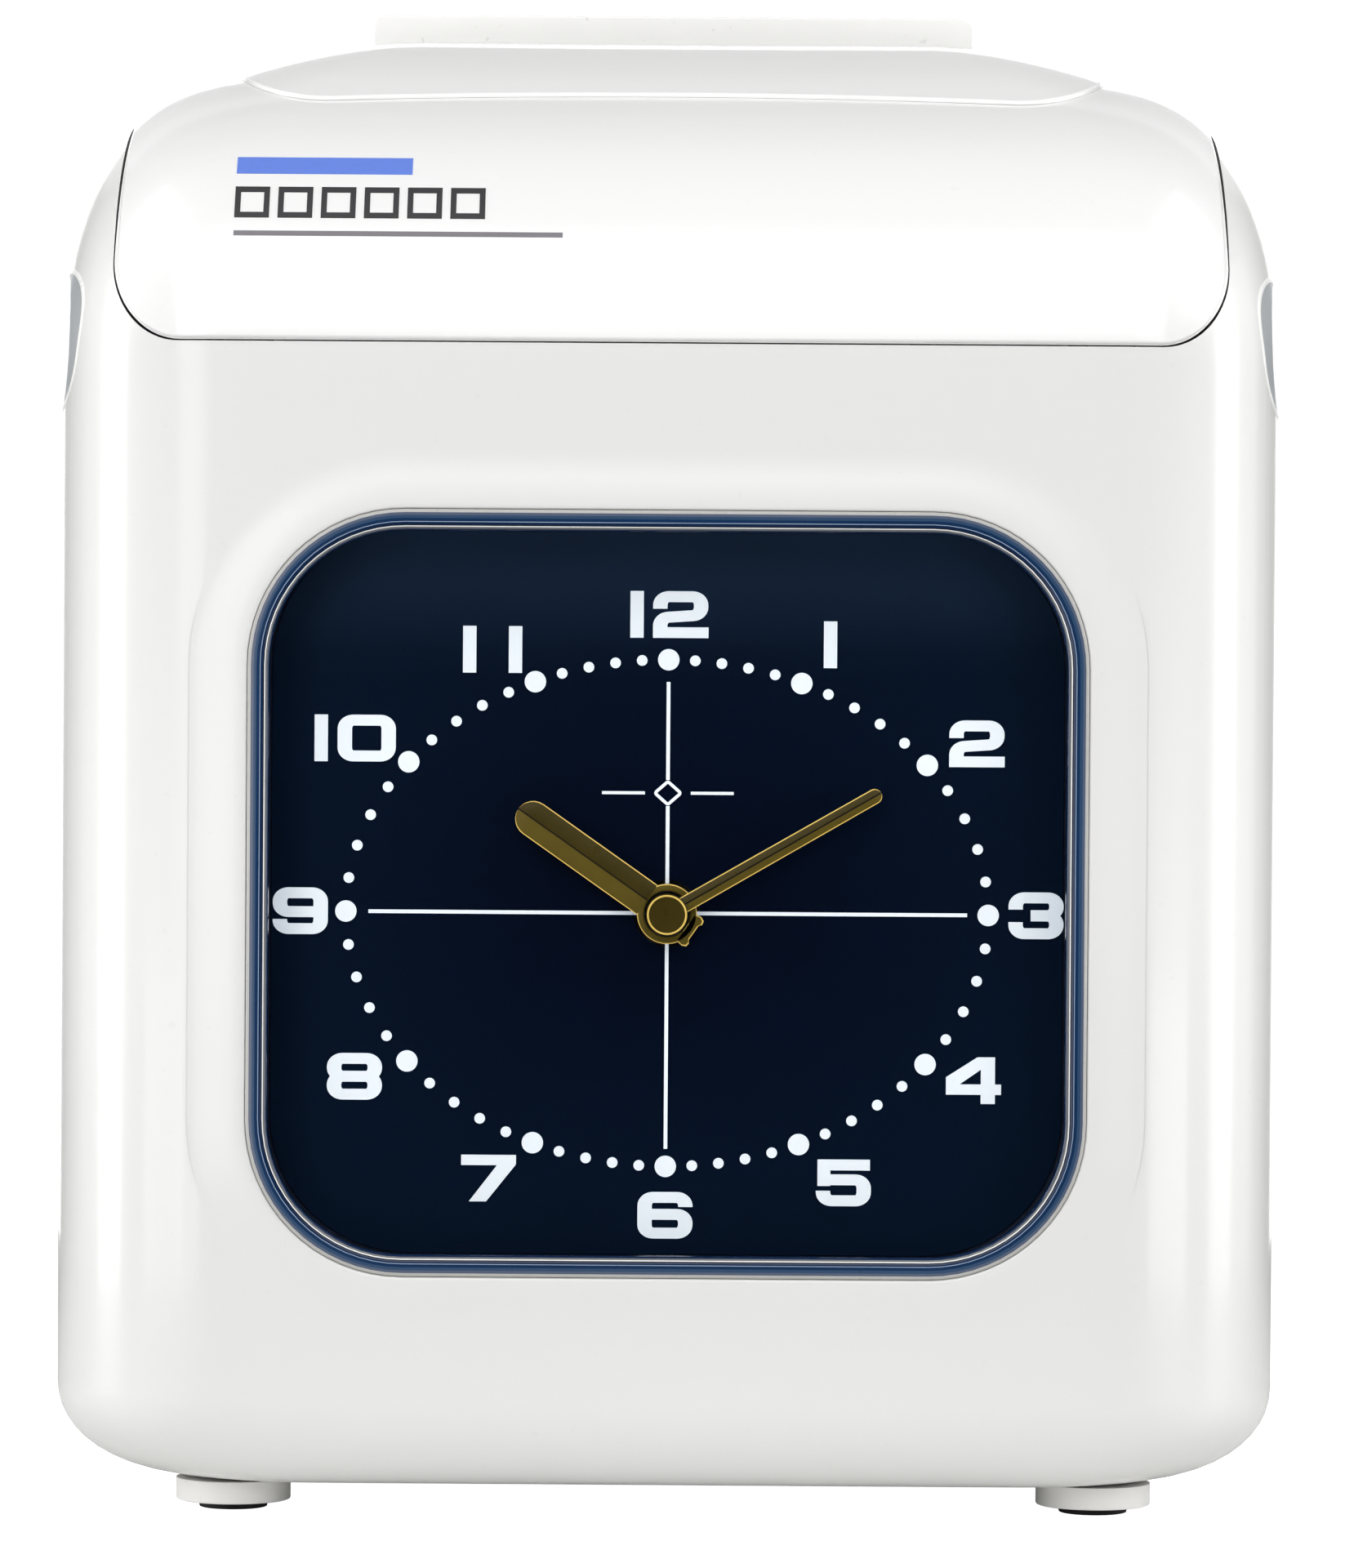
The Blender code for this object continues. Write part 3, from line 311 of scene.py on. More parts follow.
def oval_outline(half, steps=72, lean=0.16, exponent=2.6):
    """The finger dish's outline on the side wall, as (y, z). Its top leans forward."""
    outline = []
    for step in range(steps):
        angle = 2.0 * math.pi * step / steps
        across, up = math.cos(angle), math.sin(angle)
        along = half[0] * math.copysign(abs(across) ** (2.0 / exponent), across)
        up = half[1] * math.copysign(abs(up) ** (2.0 / exponent), up)
        outline.append((BUTTON_Y + along - lean * up, BUTTON_Z + up))
    return outline


def cover_outline(half, bottom, top=230.0, steps=16):
    low = bottom + COVER_CORNER[1]
    side = half - COVER_CORNER[0]
    outline = corner_arc((-side, low), COVER_CORNER, 180, 2.0, steps)
    outline += corner_arc((side, low), COVER_CORNER, 270, 2.0, steps)
    return outline + [(half, top), (-half, top)]


def lens_outline(inset, steps=16):
    half = (LENS_HALF[0] - inset, LENS_HALF[1] - inset)
    return rounded_outline((0.0, LENS_CENTRE_Z), half, LENS_CORNER - inset, steps)


# ---------------------------------------------------------------- the body's outer form
def rounding(fraction, reach, exponent):
    remaining = max(0.0, 1.0 - max(0.0, fraction) ** exponent)
    return reach * (1.0 - remaining ** (1.0 / exponent))


def section_size(height, inset):
    """Half width, front and rear of the body's horizontal section."""
    top = BODY_TOP - inset
    low = (LOW_START - height) / (LOW_START - BODY_BOTTOM - inset)
    high = (height - HIGH_START) / (top - HIGH_START)
    high_rear = (height - HIGH_REAR_START) / (top - HIGH_REAR_START)
    half = BODY_HALF_WIDTH - inset - rounding(low, LOW_SIDE - inset, 2.0)
    half -= rounding(high, HIGH_SIDE - inset, HIGH_EXPONENT)
    front = BODY_FRONT + inset + rounding(low, LOW_FRONT - inset, 2.0)
    front += rounding(high, HIGH_FRONT - inset, HIGH_EXPONENT)
    rear = BODY_REAR - inset - rounding(low, LOW_REAR - inset, 2.0)
    rear -= rounding(high_rear, HIGH_REAR - inset, 2.0)
    return half, front, rear


def section_outline(height, inset):
    half, front, rear = section_size(height, inset)
    outline = []
    for start, across, along in ((0, 1, 1), (90, -1, 1), (180, -1, -1), (270, 1, -1)):
        size, steps = (CORNER_REAR, 10) if along > 0 else (CORNER_FRONT, 24)
        reach = (size[0] - inset, size[1] - inset)
        edge = rear - reach[1] if along > 0 else front + reach[1]
        corner = (across * (half - reach[0]), edge)
        outline += corner_arc(corner, reach, start, CORNER_EXPONENT, steps)
    return outline


def body_form(name, inset, *finishes, low_steps=12, high_steps=24):
    """The whole body as one closed form, drawn in by an inset."""
    heights = []
    for step in range(low_steps + 1):
        drop = math.cos(0.5 * math.pi * step / low_steps)
        heights.append(LOW_START - (LOW_START - BODY_BOTTOM - inset) * drop)
    for step in range(high_steps + 1):
        rise = math.sin(0.5 * math.pi * step / high_steps) ** (2.0 / HIGH_EXPONENT)
        heights.append(HIGH_START + (BODY_TOP - inset - HIGH_START) * rise)
    rings = [[(*point, z) for point in section_outline(z, inset)] for z in heights]
    return lofted(name, rings, *finishes)


def front_at(x, z, inset):
    """How far forward the body's surface is at a place on its face."""
    half, front, _ = section_size(z, inset)
    reach = (CORNER_FRONT[0] - inset, CORNER_FRONT[1] - inset)
    share = min(1.0, max(0.0, (abs(x) - half + reach[0]) / reach[0]))
    return front + rounding(share, reach[1], CORNER_EXPONENT)


def form_level(x, y, height, inset):
    """How far out a point is in the body's section at a height: 1 on its front and its sides."""
    half, front, _ = section_size(height, inset)
    across = (abs(x) - half) / (CORNER_FRONT[0] - inset) + 1.0
    along = (front - y) / (CORNER_FRONT[1] - inset) + 1.0
    if across <= 0.0 or along <= 0.0:
        return max(across, along)
    return (across ** CORNER_EXPONENT + along ** CORNER_EXPONENT) ** (1.0 / CORNER_EXPONENT)


def form_normal(point, inset, step=0.01):
    """Square to the body's form at a point of its front, its sides or its top."""
    slope = []
    for axis in range(3):
        ahead, behind = point.copy(), point.copy()
        ahead[axis] += step
        behind[axis] -= step
        ahead.z = min(ahead.z, BODY_TOP - inset)
        rise = form_level(*ahead, inset) - form_level(*behind, inset)
        slope.append(rise / (ahead[axis] - behind[axis]))
    return Vector(slope).normalized()


def last_true(low, high, rounds, holds):
    """The highest value at which a test still holds, found by halving."""
    for _ in range(rounds):
        halfway = (low + high) / 2
        if holds(halfway):
            low = halfway
        else:
            high = halfway
    return low


def surface_height(x, y, inset):
    """How high the body's form is above a point of its plan."""
    return last_true(HIGH_START, BODY_TOP - inset, 40, lambda z: form_level(x, y, z, inset) <= 1.0)


# ---------------------------------------------------------------- finishes
def shader_of(name):
    made = bpy.data.materials.new(name)
    made.use_nodes = True
    tree = made.node_tree
    return made, tree, tree.nodes["Principled BSDF"]


def coordinates(tree, kind="Object"):
    return tree.nodes.new("ShaderNodeTexCoord").outputs[kind]


def mapped(tree, **settings):
    """The frame's own coordinates, moved, turned or stretched."""
    mapping = tree.nodes.new("ShaderNodeMapping")
    for name, value in settings.items():
        mapping.inputs[name].default_value = value
    tree.links.new(coordinates(tree), mapping.inputs["Vector"])
    return mapping.outputs["Vector"]


def length_of(tree, vector):
    node = tree.nodes.new("ShaderNodeVectorMath")
    node.operation = "LENGTH"
    tree.links.new(vector, node.inputs[0])
    return node.outputs["Value"]


def height_of(tree, vector):
    node = tree.nodes.new("ShaderNodeSeparateXYZ")
    tree.links.new(vector, node.inputs["Vector"])
    return node.outputs["Z"]


def light_path(tree, kind):
    return tree.nodes.new("ShaderNodeLightPath").outputs[kind]


def noise(tree, scale, detail=3.0, stretch=(1.0, 1.0, 1.0)):
    """Noise in the frame's own coordinates. Scale is in cells per metre."""
    texture = tree.nodes.new("ShaderNodeTexNoise")
    texture.inputs["Scale"].default_value = scale
    texture.inputs["Detail"].default_value = detail
    tree.links.new(mapped(tree, Scale=stretch), texture.inputs["Vector"])
    return texture.outputs["Fac"]


def ramp(tree, source, low, high, first, last):
    """A colour ramp between two places. First and last are grey values or colours."""
    node = tree.nodes.new("ShaderNodeValToRGB")
    node.color_ramp.elements[0].position = low
    node.color_ramp.elements[1].position = high
    for element, value in zip(node.color_ramp.elements, (first, last)):
        colour = (value, value, value) if isinstance(value, float) else value
        element.color = (*colour, 1.0)
    tree.links.new(source, node.inputs["Fac"])
    return node.outputs["Color"]


def feed(tree, source, socket):
    """Give a socket a number, a colour or another node's output."""
    if isinstance(source, float):
        socket.default_value = source
    elif isinstance(source, tuple):
        socket.default_value = (*source, 1.0)
    else:
        tree.links.new(source, socket)


def mixed(tree, blend_type, amount, first, second):
    """Blend two colours in the given way. Each value is a constant or a node's output."""
    blend = tree.nodes.new("ShaderNodeMix")
    blend.data_type = "RGBA"
    blend.blend_type = blend_type
    for name, source in (("Factor", amount), ("A", first), ("B", second)):
        feed(tree, source, blend.inputs[name])
    return blend.outputs["Result"]


def chained(tree, operation, source, other):
    """Send a value through one step of arithmetic with a number or a second value, kept between 0 and 1."""
    step = tree.nodes.new("ShaderNodeMath")
    step.operation = operation
    step.use_clamp = True
    feed(tree, source, step.inputs[0])
    feed(tree, other, step.inputs[1])
    return step.outputs["Value"]


def gloss(tree, shader, scale, low, high, detail=3.0, until=0.7):
    """Let the roughness wander between two values."""
    patches = noise(tree, scale, detail)
    tree.links.new(ramp(tree, patches, 0.3, until, low, high), shader.inputs["Roughness"])


def bumps(tree, shader, layers):
    """Stack bump layers of (height source, strength, depth in millimetres)."""
    normal = None
    for source, strength, depth in layers:
        node = tree.nodes.new("ShaderNodeBump")
        node.inputs["Strength"].default_value = strength
        node.inputs["Distance"].default_value = depth * MM
        tree.links.new(source, node.inputs["Height"])
        if normal is not None:
            tree.links.new(normal, node.inputs["Normal"])
        normal = node.outputs["Normal"]
    tree.links.new(normal, shader.inputs["Normal"])


def tinted(colour, amount):
    return tuple(max(0.0, min(1.0, value * amount)) for value in colour)


def moulded(name, colour, rough, variation=0.03, grain=3000.0, depth=0.01, coat=0.0, specular=0.5,
            uneven=0.18, speck_tone=0.86):
    """Moulded plastic: faint cloudy colour, uneven gloss, fine skin texture and a few specks."""
    made, tree, shader = shader_of(name)
    cloud = noise(tree, 26.0, 4.0)
    base = ramp(tree, cloud, 0.3, 0.7, tinted(colour, 1.0 - variation), tinted(colour, 1.0 + variation))
    speck = ramp(tree, noise(tree, 620.0, 2.0), 0.70, 0.76, 0.0, 1.0)
    specked = mixed(tree, "MIX", speck, base, tinted(colour, speck_tone))
    tree.links.new(specked, shader.inputs["Base Color"])
    gloss(tree, shader, 90.0, rough * (1.0 - uneven), min(1.0, rough * (1.0 + uneven)), 5.0, 0.75)
    shader.inputs["Specular IOR Level"].default_value = specular
    shader.inputs["Coat Weight"].default_value = coat
    shader.inputs["Coat Roughness"].default_value = 0.08
    bumps(tree, shader, ((noise(tree, 45.0, 2.0), 0.12, 0.05), (noise(tree, grain, 2.0), 0.25, depth)))
    return made


def metal(name, colour, rough, streak=(1.0, 1.0, 1.0), grain=900.0, variation=0.08, depth=0.012):
    """Metal with drawn or brushed streaks and patchy dulling."""
    made, tree, shader = shader_of(name)
    patch = noise(tree, 60.0, 5.0)
    base = ramp(tree, patch, 0.3, 0.7, tinted(colour, 1.0 - variation), tinted(colour, 1.0 + variation))
    tree.links.new(base, shader.inputs["Base Color"])
    drawn = noise(tree, grain, 3.0, streak)
    dulled = ramp(tree, drawn, 0.3, 0.7, rough * 0.8, min(1.0, rough * 1.35))
    tree.links.new(dulled, shader.inputs["Roughness"])
    shader.inputs["Metallic"].default_value = 1.0
    bumps(tree, shader, ((drawn, 0.3, depth),))
    return made


def plated(name, colour, metallic, rough):
    """Thin bright plating: part mirror, part coloured haze, with faint clouding."""
    made, tree, shader = shader_of(name)
    cloud = ramp(tree, noise(tree, 160.0), 0.3, 0.7, tinted(colour, 0.9), tinted(colour, 1.1))
    tree.links.new(cloud, shader.inputs["Base Color"])
    gloss(tree, shader, 500.0, rough * 0.9, rough * 1.1)
    shader.inputs["Metallic"].default_value = metallic
    shader.inputs["Specular IOR Level"].default_value = 0.12
    bumps(tree, shader, ((noise(tree, 2500.0), 0.1, 0.002),))
    return made


def rubber(name, colour, rough=0.8):
    """Dusty dark rubber with a fine matt skin."""
    made, tree, shader = shader_of(name)
    dust = ramp(tree, noise(tree, 150.0, 5.0), 0.35, 0.8, tinted(colour, 0.8), tinted(colour, 2.2))
    tree.links.new(dust, shader.inputs["Base Color"])
    gloss(tree, shader, 500.0, rough * 0.85, rough)
    bumps(tree, shader, ((noise(tree, 2600.0, 3.0), 0.5, 0.03),))
    return made


def printed(name, colour, rough=0.55, glow=0.0):
    """Screen-printed ink: nearly even, with faint pinholes and a matt grain. It can be given a faint glow,
    which is painted light.
    """
    made, tree, shader = shader_of(name)
    coverage = ramp(tree, noise(tree, 1500.0), 0.25, 0.45, tinted(colour, 0.93), colour)
    tree.links.new(coverage, shader.inputs["Base Color"])
    gloss(tree, shader, 700.0, rough * 0.9, rough)
    # A glow, where given, is painted light in a pale blue; the ink is no lamp.
    shader.inputs["Emission Color"].default_value = (0.62, 0.82, 1.0, 1.0)
    shader.inputs["Emission Strength"].default_value = glow
    bumps(tree, shader, ((noise(tree, 4000.0), 0.2, 0.005),))
    return made


def dial_paint():
    """Deep navy paint with painted reflection: a little lighter towards the plate's edges and most of all at
    its top.
    """
    made, tree, shader = shader_of("dial_paint")
    half = (DIAL_HIGH - DIAL_LOW) / 2 * MM
    centre = (DIAL_HIGH + DIAL_LOW) / 2 * MM
    scale = (0.72 / half.x, 0.0, 0.80 / half.z)
    oval = length_of(tree, mapped(tree, Scale=scale, Location=(0.0, 0.0, -centre.z * scale[2])))
    # The navy lightens towards the plate's edges: painted reflection.
    reach = ramp(tree, oval, 0.20, 1.0, (0.0, 0.0026, 0.0130), (0.0015, 0.0090, 0.0260))
    band = ((DIAL_HIGH.z - 17.0) * MM, DIAL_HIGH.z * MM)
    # The lighter band at the top is a painted reflection of overhead light.
    top = ramp(tree, height_of(tree, coordinates(tree)), *band, (0.0, 0.0, 0.0), (0.014, 0.026, 0.050))
    both = mixed(tree, "ADD", 1.0, reach, top)
    cloud = ramp(tree, noise(tree, 70.0, 4.0), 0.3, 0.7, 0.8, 1.0)
    tree.links.new(mixed(tree, "MULTIPLY", 0.35, both, cloud), shader.inputs["Base Color"])
    gloss(tree, shader, 1200.0, 0.42, 0.5)
    shader.inputs["Specular IOR Level"].default_value = 0.02
    bumps(tree, shader, ((noise(tree, 3000.0), 0.1, 0.002),))
    return made


def clear_film():
    """Clear moulded window: mirror-like where it is seen aslant, almost unseen straight on, no shadow."""
    made, tree, shader = shader_of("window_clear")
    slant = tree.nodes.new("ShaderNodeLayerWeight")
    slant.inputs["Blend"].default_value = 0.5
    steep = chained(tree, "POWER", slant.outputs["Facing"], 5.0)
    mirror = chained(tree, "ADD", chained(tree, "MULTIPLY", steep, 0.9), 0.02)
    seen = chained(tree, "SUBTRACT", mirror, light_path(tree, "Is Shadow Ray"))
    tree.links.new(seen, shader.inputs["Alpha"])
    tree.links.new(ramp(tree, noise(tree, 40.0, 5.0), 0.35, 0.75, 0.02, 0.06), shader.inputs["Roughness"])
    tint = ramp(tree, noise(tree, 30.0), 0.3, 0.7, (0.86, 0.93, 1.0), (0.93, 0.97, 1.0))
    tree.links.new(tint, shader.inputs["Base Color"])
    shader.inputs["Metallic"].default_value = 1.0
    return made


def circuit_laminate():
    """Green solder mask over a maze of slightly raised copper tracks."""
    made, tree, shader = shader_of("circuit_laminate")
    tracks = tree.nodes.new("ShaderNodeTexBrick")
    tracks.inputs["Scale"].default_value = 160.0
    tracks.inputs["Mortar Size"].default_value = 0.07
    tracks.inputs["Color1"].default_value = (0.012, 0.11, 0.045, 1.0)
    tracks.inputs["Color2"].default_value = (0.010, 0.09, 0.038, 1.0)
    tracks.inputs["Mortar"].default_value = (0.03, 0.20, 0.09, 1.0)
    on_board = mapped(tree, Rotation=(math.radians(90.0), 0.0, 0.0))
    tree.links.new(on_board, tracks.inputs["Vector"])
    tree.links.new(tracks.outputs["Color"], shader.inputs["Base Color"])
    gloss(tree, shader, 400.0, 0.25, 0.4)
    bumps(tree, shader, ((tracks.outputs["Fac"], 0.4, 0.05),))
    return made


WHITE = moulded("housing_white", (0.80, 0.80, 0.79), 0.26, 0.004, 2200.0, 0.004, coat=0.25,
                uneven=0.03, speck_tone=0.975)
COVER_WHITE = moulded("cover_white", (0.88, 0.88, 0.875), 0.20, 0.004, 2200.0, 0.003, coat=0.35,
                      uneven=0.03, speck_tone=0.975)
GUIDE_WHITE = moulded("guide_white", (0.94, 0.935, 0.915), 0.42, 0.02, 1500.0, 0.02)
FOOT_WHITE = moulded("foot_white", (0.93, 0.92, 0.90), 0.45, 0.02, 1800.0, 0.01)
DISH_GREY = moulded("dish_grey", (0.42, 0.44, 0.46), 0.35, 0.03, 1800.0, 0.015)
BUTTON_GREY = moulded("button_grey", (0.50, 0.54, 0.56), 0.28, 0.03, 1800.0, 0.012)
# A brighter white than the housing: painted highlight on the button edges and the dish bead.
EDGE_HIGHLIGHT_WHITE = moulded("painted_edge_highlight", (0.90, 0.90, 0.88), 0.3, 0.01)
TRAY_NAVY = moulded("tray_navy", (0.012, 0.030, 0.085), 0.35, 0.08)
# Painted bands that stand in for light in the clear window's rim: the grey lip is painted shade at the gap,
# the haze band a painted reflection, the blue, deep and navy bands the tray's colour painted as seen through
# the clear edge, the light line and the white line painted highlights, the dark line painted shadow, then a
# grey band next to the dial.
RIM_PAINTED_LIGHT_BANDS = (
    moulded("rim_lip", (0.46, 0.455, 0.44), 0.3, 0.03),
    moulded("rim_painted_reflection", (0.085, 0.11, 0.17), 0.2, 0.05, coat=0.2, specular=0.3),
    moulded("rim_blue", (0.028, 0.066, 0.140), 0.2, 0.06, coat=0.2, specular=0.3),
    moulded("rim_deep", (0.006, 0.028, 0.085), 0.2, 0.08, coat=0.2, specular=0.3),
    moulded("rim_painted_glint", (0.28, 0.37, 0.52), 0.2, 0.04, coat=0.2, specular=0.3),
    moulded("rim_navy", (0.004, 0.018, 0.060), 0.2, 0.08, coat=0.2, specular=0.3),
    moulded("rim_painted_shadow", (0.002, 0.004, 0.010), 0.3, 0.05, specular=0.2),
    moulded("rim_painted_highlight", (0.84, 0.86, 0.88), 0.2, 0.02),
    moulded("rim_grey", (0.15, 0.155, 0.155), 0.25, 0.04, specular=0.3),
)
WINDOW = clear_film()
DIAL_PAINT_AND_REFLECTION = dial_paint()
# The dial's ink glows faintly: painted light that brightens the print.
DIAL_INK_AND_GLOW = printed("dial_ink", (0.93, 0.97, 1.0), glow=0.2)
GOLD = plated("gold_plate", (0.118, 0.086, 0.011), 0.1, 0.30)
# A darker copy of the gold plate: painted shade on the facet that faces up and on the cap disc.
GOLD_PAINTED_SHADE = plated("gold_painted_shade", (0.046, 0.033, 0.003), 0.1, 0.30)
# A bright copy of the gold plate: painted highlight on the hands' bevelled edges and rims.
GOLD_PAINTED_HIGHLIGHT = plated("gold_painted_highlight", (0.96, 0.66, 0.16), 0.0, 0.35)
# Near-black gold: painted shadow in the hands' centre grooves, round the hour hand's collet and on the minute
# hand's plate and arbor under the cap.
GOLD_PAINTED_SHADOW = plated("gold_painted_shadow", (0.006, 0.004, 0.001), 0.1, 0.35)
STEEL = metal("zinc_steel", (0.56, 0.56, 0.55), 0.32, (0.15, 1.0, 1.0))
MOTOR_STEEL = metal("motor_can", (0.42, 0.42, 0.42), 0.38, (1.0, 0.15, 1.0))
CORE_STEEL = metal("laminated_core", (0.28, 0.28, 0.29), 0.5, (1.0, 6.0, 1.0), 350.0, 0.15, 0.05)
INNER_GREY = moulded("inner_grey", (0.21, 0.22, 0.23), 0.5, 0.08, 1800.0, 0.03)
INNER_BLACK = moulded("inner_black", (0.024, 0.024, 0.026), 0.45, 0.06, 1800.0, 0.03)
KEY_WHITE = moulded("key_white", (0.62, 0.63, 0.62), 0.4, 0.03)
PAD_RUBBER = rubber("pad_rubber", (0.012, 0.012, 0.012))
ROLLER_RUBBER = rubber("roller_rubber", (0.03, 0.03, 0.032), 0.65)
RIBBON = rubber("ribbon_weave", (0.008, 0.008, 0.014), 0.9)
LAMINATE = circuit_laminate()
SLEEVE = moulded("battery_sleeve", (0.03, 0.075, 0.22), 0.3, 0.06)
PLATE_FOIL = metal("plate_foil", (0.62, 0.63, 0.64), 0.4, (0.2, 1.0, 1.0), 900.0, 0.04, 0.006)
MARK_BLUE = printed("mark_blue", (0.13, 0.23, 0.72))
MARK_DARK = printed("mark_dark", (0.035, 0.033, 0.036))
MARK_GREY = printed("mark_grey", (0.20, 0.19, 0.21))


# ---------------------------------------------------------------- housing
COLLAR = 7.5
COLLAR_RISE = 0.5


def collar_profile():
    """(distance from the window opening, y) over the soft raised collar, outside to inside."""
    lip = 0.4
    points = []
    for step in range(15):
        share = step / 14
        rise = share * share * (3.0 - 2.0 * share)
        points.append((COLLAR - (COLLAR - 0.6) * share, BODY_FRONT - COLLAR_RISE * rise))
    for step in range(1, 5):
        angle = math.radians(90.0 * step / 4)
        y = BODY_FRONT - COLLAR_RISE + lip * (1.0 - math.cos(angle))
        points.append((lip - lip * math.sin(angle), y))
    return points


def beside_window(vertex):
    """Whether a corner of the mesh is in the front wall, at the window's opening."""
    x, y, z = vertex.co / MM
    near = abs(x) < LENS_HALF[0] + COLLAR + 1.0 and abs(z - LENS_CENTRE_Z) < LENS_HALF[1] + COLLAR + 1.0
    return near and y < BODY_FRONT + WALL + 0.1


def make_front_housing():
    housing = body_form("front_housing_shell", 0.0, WHITE)
    cut(housing, body_form("hollow", WALL))
    cut(housing, box("rear_half", (-FAR, SPLIT_Y, -FAR), (FAR, FAR, 2 * FAR)))
    cut(housing, prism("cover_hole", cover_outline(COVER_HALF + SEAM, COVER_BOTTOM - SEAM), "Y", -FAR, FAR))
    for side in (-1, 1):
        cut(housing, prism("dish_hole", oval_outline(DISH_HALF), "X", side * 60.0, side * FAR))
    cut(housing, prism("opening", lens_outline(-COLLAR - GAP), "Y", -FAR, -50.0))
    add_collar(housing)
    tidy_mesh(housing, 40.0, 0.05)
    soften(housing, 0.22, 2, 50.0)
    attach(housing, "case", "housing_plastic", "front_housing")


def add_collar(housing):
    """Put the collar's skin in place of the wall that the opening's cutter left."""
    shape = bmesh.new()
    shape.from_mesh(housing.data)
    wall = [face for face in shape.faces if abs(face.normal.y) < 0.01 and all(map(beside_window, face.verts))]
    bmesh.ops.delete(shape, geom=wall, context="FACES_ONLY")
    stack = []
    for distance, y in collar_profile() + [(0.0, BODY_FRONT + WALL), (COLLAR, BODY_FRONT + WALL)]:
        ring = upright(lens_outline(-distance - GAP), y)
        stack.append([shape.verts.new([value * MM for value in point]) for point in ring])
    for lower, upper in zip(stack, stack[1:]):
        for index in range(len(lower)):
            following = (index + 1) % len(lower)
            shape.faces.new((lower[index], lower[following], upper[following], upper[index]))
    shape.to_mesh(housing.data)
    shape.free()


SCREW_X, SCREW_HEIGHTS = 66.0, (24.0, 158.0)
VENT_ROWS, VENT_X, VENT_LOW, VENT_PITCH = 5, 26.0, 118.0, 7.0
CORD_HOLE = (50.0, 22.0)


def hinge_ear(side):
    """The case's half of a cover hinge: a short bored barrel on an arm."""
    centre = (HINGE_Y, HINGE_Z)
    inner, outer = sorted((side * 50.35, side * 54.4))
    ear = cylinder("ear", "X", centre, BARREL_RADIUS, inner, outer)
    join(ear, box("arm", (inner, HINGE_Y, HINGE_Z - 1.3), (outer, HINGE_Y + 4.0, HINGE_Z + 0.5)))
    return cut(ear, cylinder("bore", "X", centre, PIN_RADIUS + 0.1, side * 40.0, side * 60.0))


def make_rear_housing():
    housing = body_form("rear_housing_shell", 0.0, WHITE)
    cut(housing, body_form("hollow", WALL))
    cut(housing, box("front_half", (-FAR, -FAR, -FAR), (FAR, REAR_LOW.y, 2 * FAR)))
    hole = cover_outline(COVER_HALF + SEAM, COVER_BOTTOM - SEAM)
    cut(housing, prism("cover_hole", hole, "Y", -FAR, COVER_REAR + 0.4))
    cut(housing, box("barrel_room", (-66.4, 30.0, 183.0), (66.4, 48.1, 240.0)))
    for side in (-1, 1):
        join(housing, hinge_ear(side))
        for height in SCREW_HEIGHTS:
            spot = (side * SCREW_X, height)
            join(housing, cylinder("boss", "Y", spot, 5.2, 54.0, 65.6))
            cut(housing, cylinder("recess", "Y", spot, 3.5, 63.0, 70.0))
            cut(housing, cylinder("hole", "Y", spot, 1.8, 50.0, 70.0))
        for row in range(VENT_ROWS):
            slot = rounded_outline((side * VENT_X, VENT_LOW + VENT_PITCH * row), (14.0, 1.1), 1.0, 6)
            cut(housing, prism("vent", slot, "Y", 60.0, 70.0))
    cut(housing, cylinder("cord_hole", "Y", CORD_HOLE, 5.3, 60.0, 70.0))
    tidy_mesh(housing, 40.0, 0.05)
    soften(housing, 0.3, 2, 50.0)
    attach(housing, "case", "housing_plastic", "rear_housing")


def make_back_plate():
    """A thin blank data plate on the rear wall."""
    centre, half, corner = (-20.0, 78.0), (24.0, 15.0), 2.0
    rings = []
    for inset, y in ((0.0, BODY_REAR - 0.3), (0.0, BODY_REAR + 0.12), (0.25, BODY_REAR + 0.25)):
        outline = rounded_outline(centre, (half[0] - inset, half[1] - inset), corner - inset)
        rings.append(upright(outline, y))
    plate = lofted("blank_data_plate", rings, PLATE_FOIL)
    attach(plate, "case", "housing_plastic")


def make_feet():
    for row in ("front", "rear"):
        for side in ("left", "right"):
            low, high = place(f"foot_{row}_{side}")
            centre = box_middle(low, high, "xy")
            radius = (high.x - low.x) / 2
            pad_low, pad_high = place(f"foot_pad_{row}_{side}")
            pad = (pad_high.x - pad_low.x) / 2
            profile = [
                (pad + GAP, low.z), (radius - 0.3, low.z), (radius - 0.09, low.z + 0.09),
                (radius, low.z + 0.3), (radius, high.z),
                (pad - 2.0, high.z), (pad - 2.0, low.z + 1.0), (pad + GAP, low.z + 1.0),
            ]
            foot = turned(f"foot_cup_{row}_{side}", "Z", centre, profile, FOOT_WHITE, closed=True)
            attach(foot, "case", "foot_plastic", f"foot_{row}_{side}")
            profile = [
                (pad - 0.2, 0.0), (pad - 0.06, 0.05), (pad, 0.2), (pad, 1.7),
            ]
            tread = turned(f"foot_tread_{row}_{side}", "Z", centre, profile, PAD_RUBBER)
            attach(tread, "case", "pad_rubber", f"foot_pad_{row}_{side}")


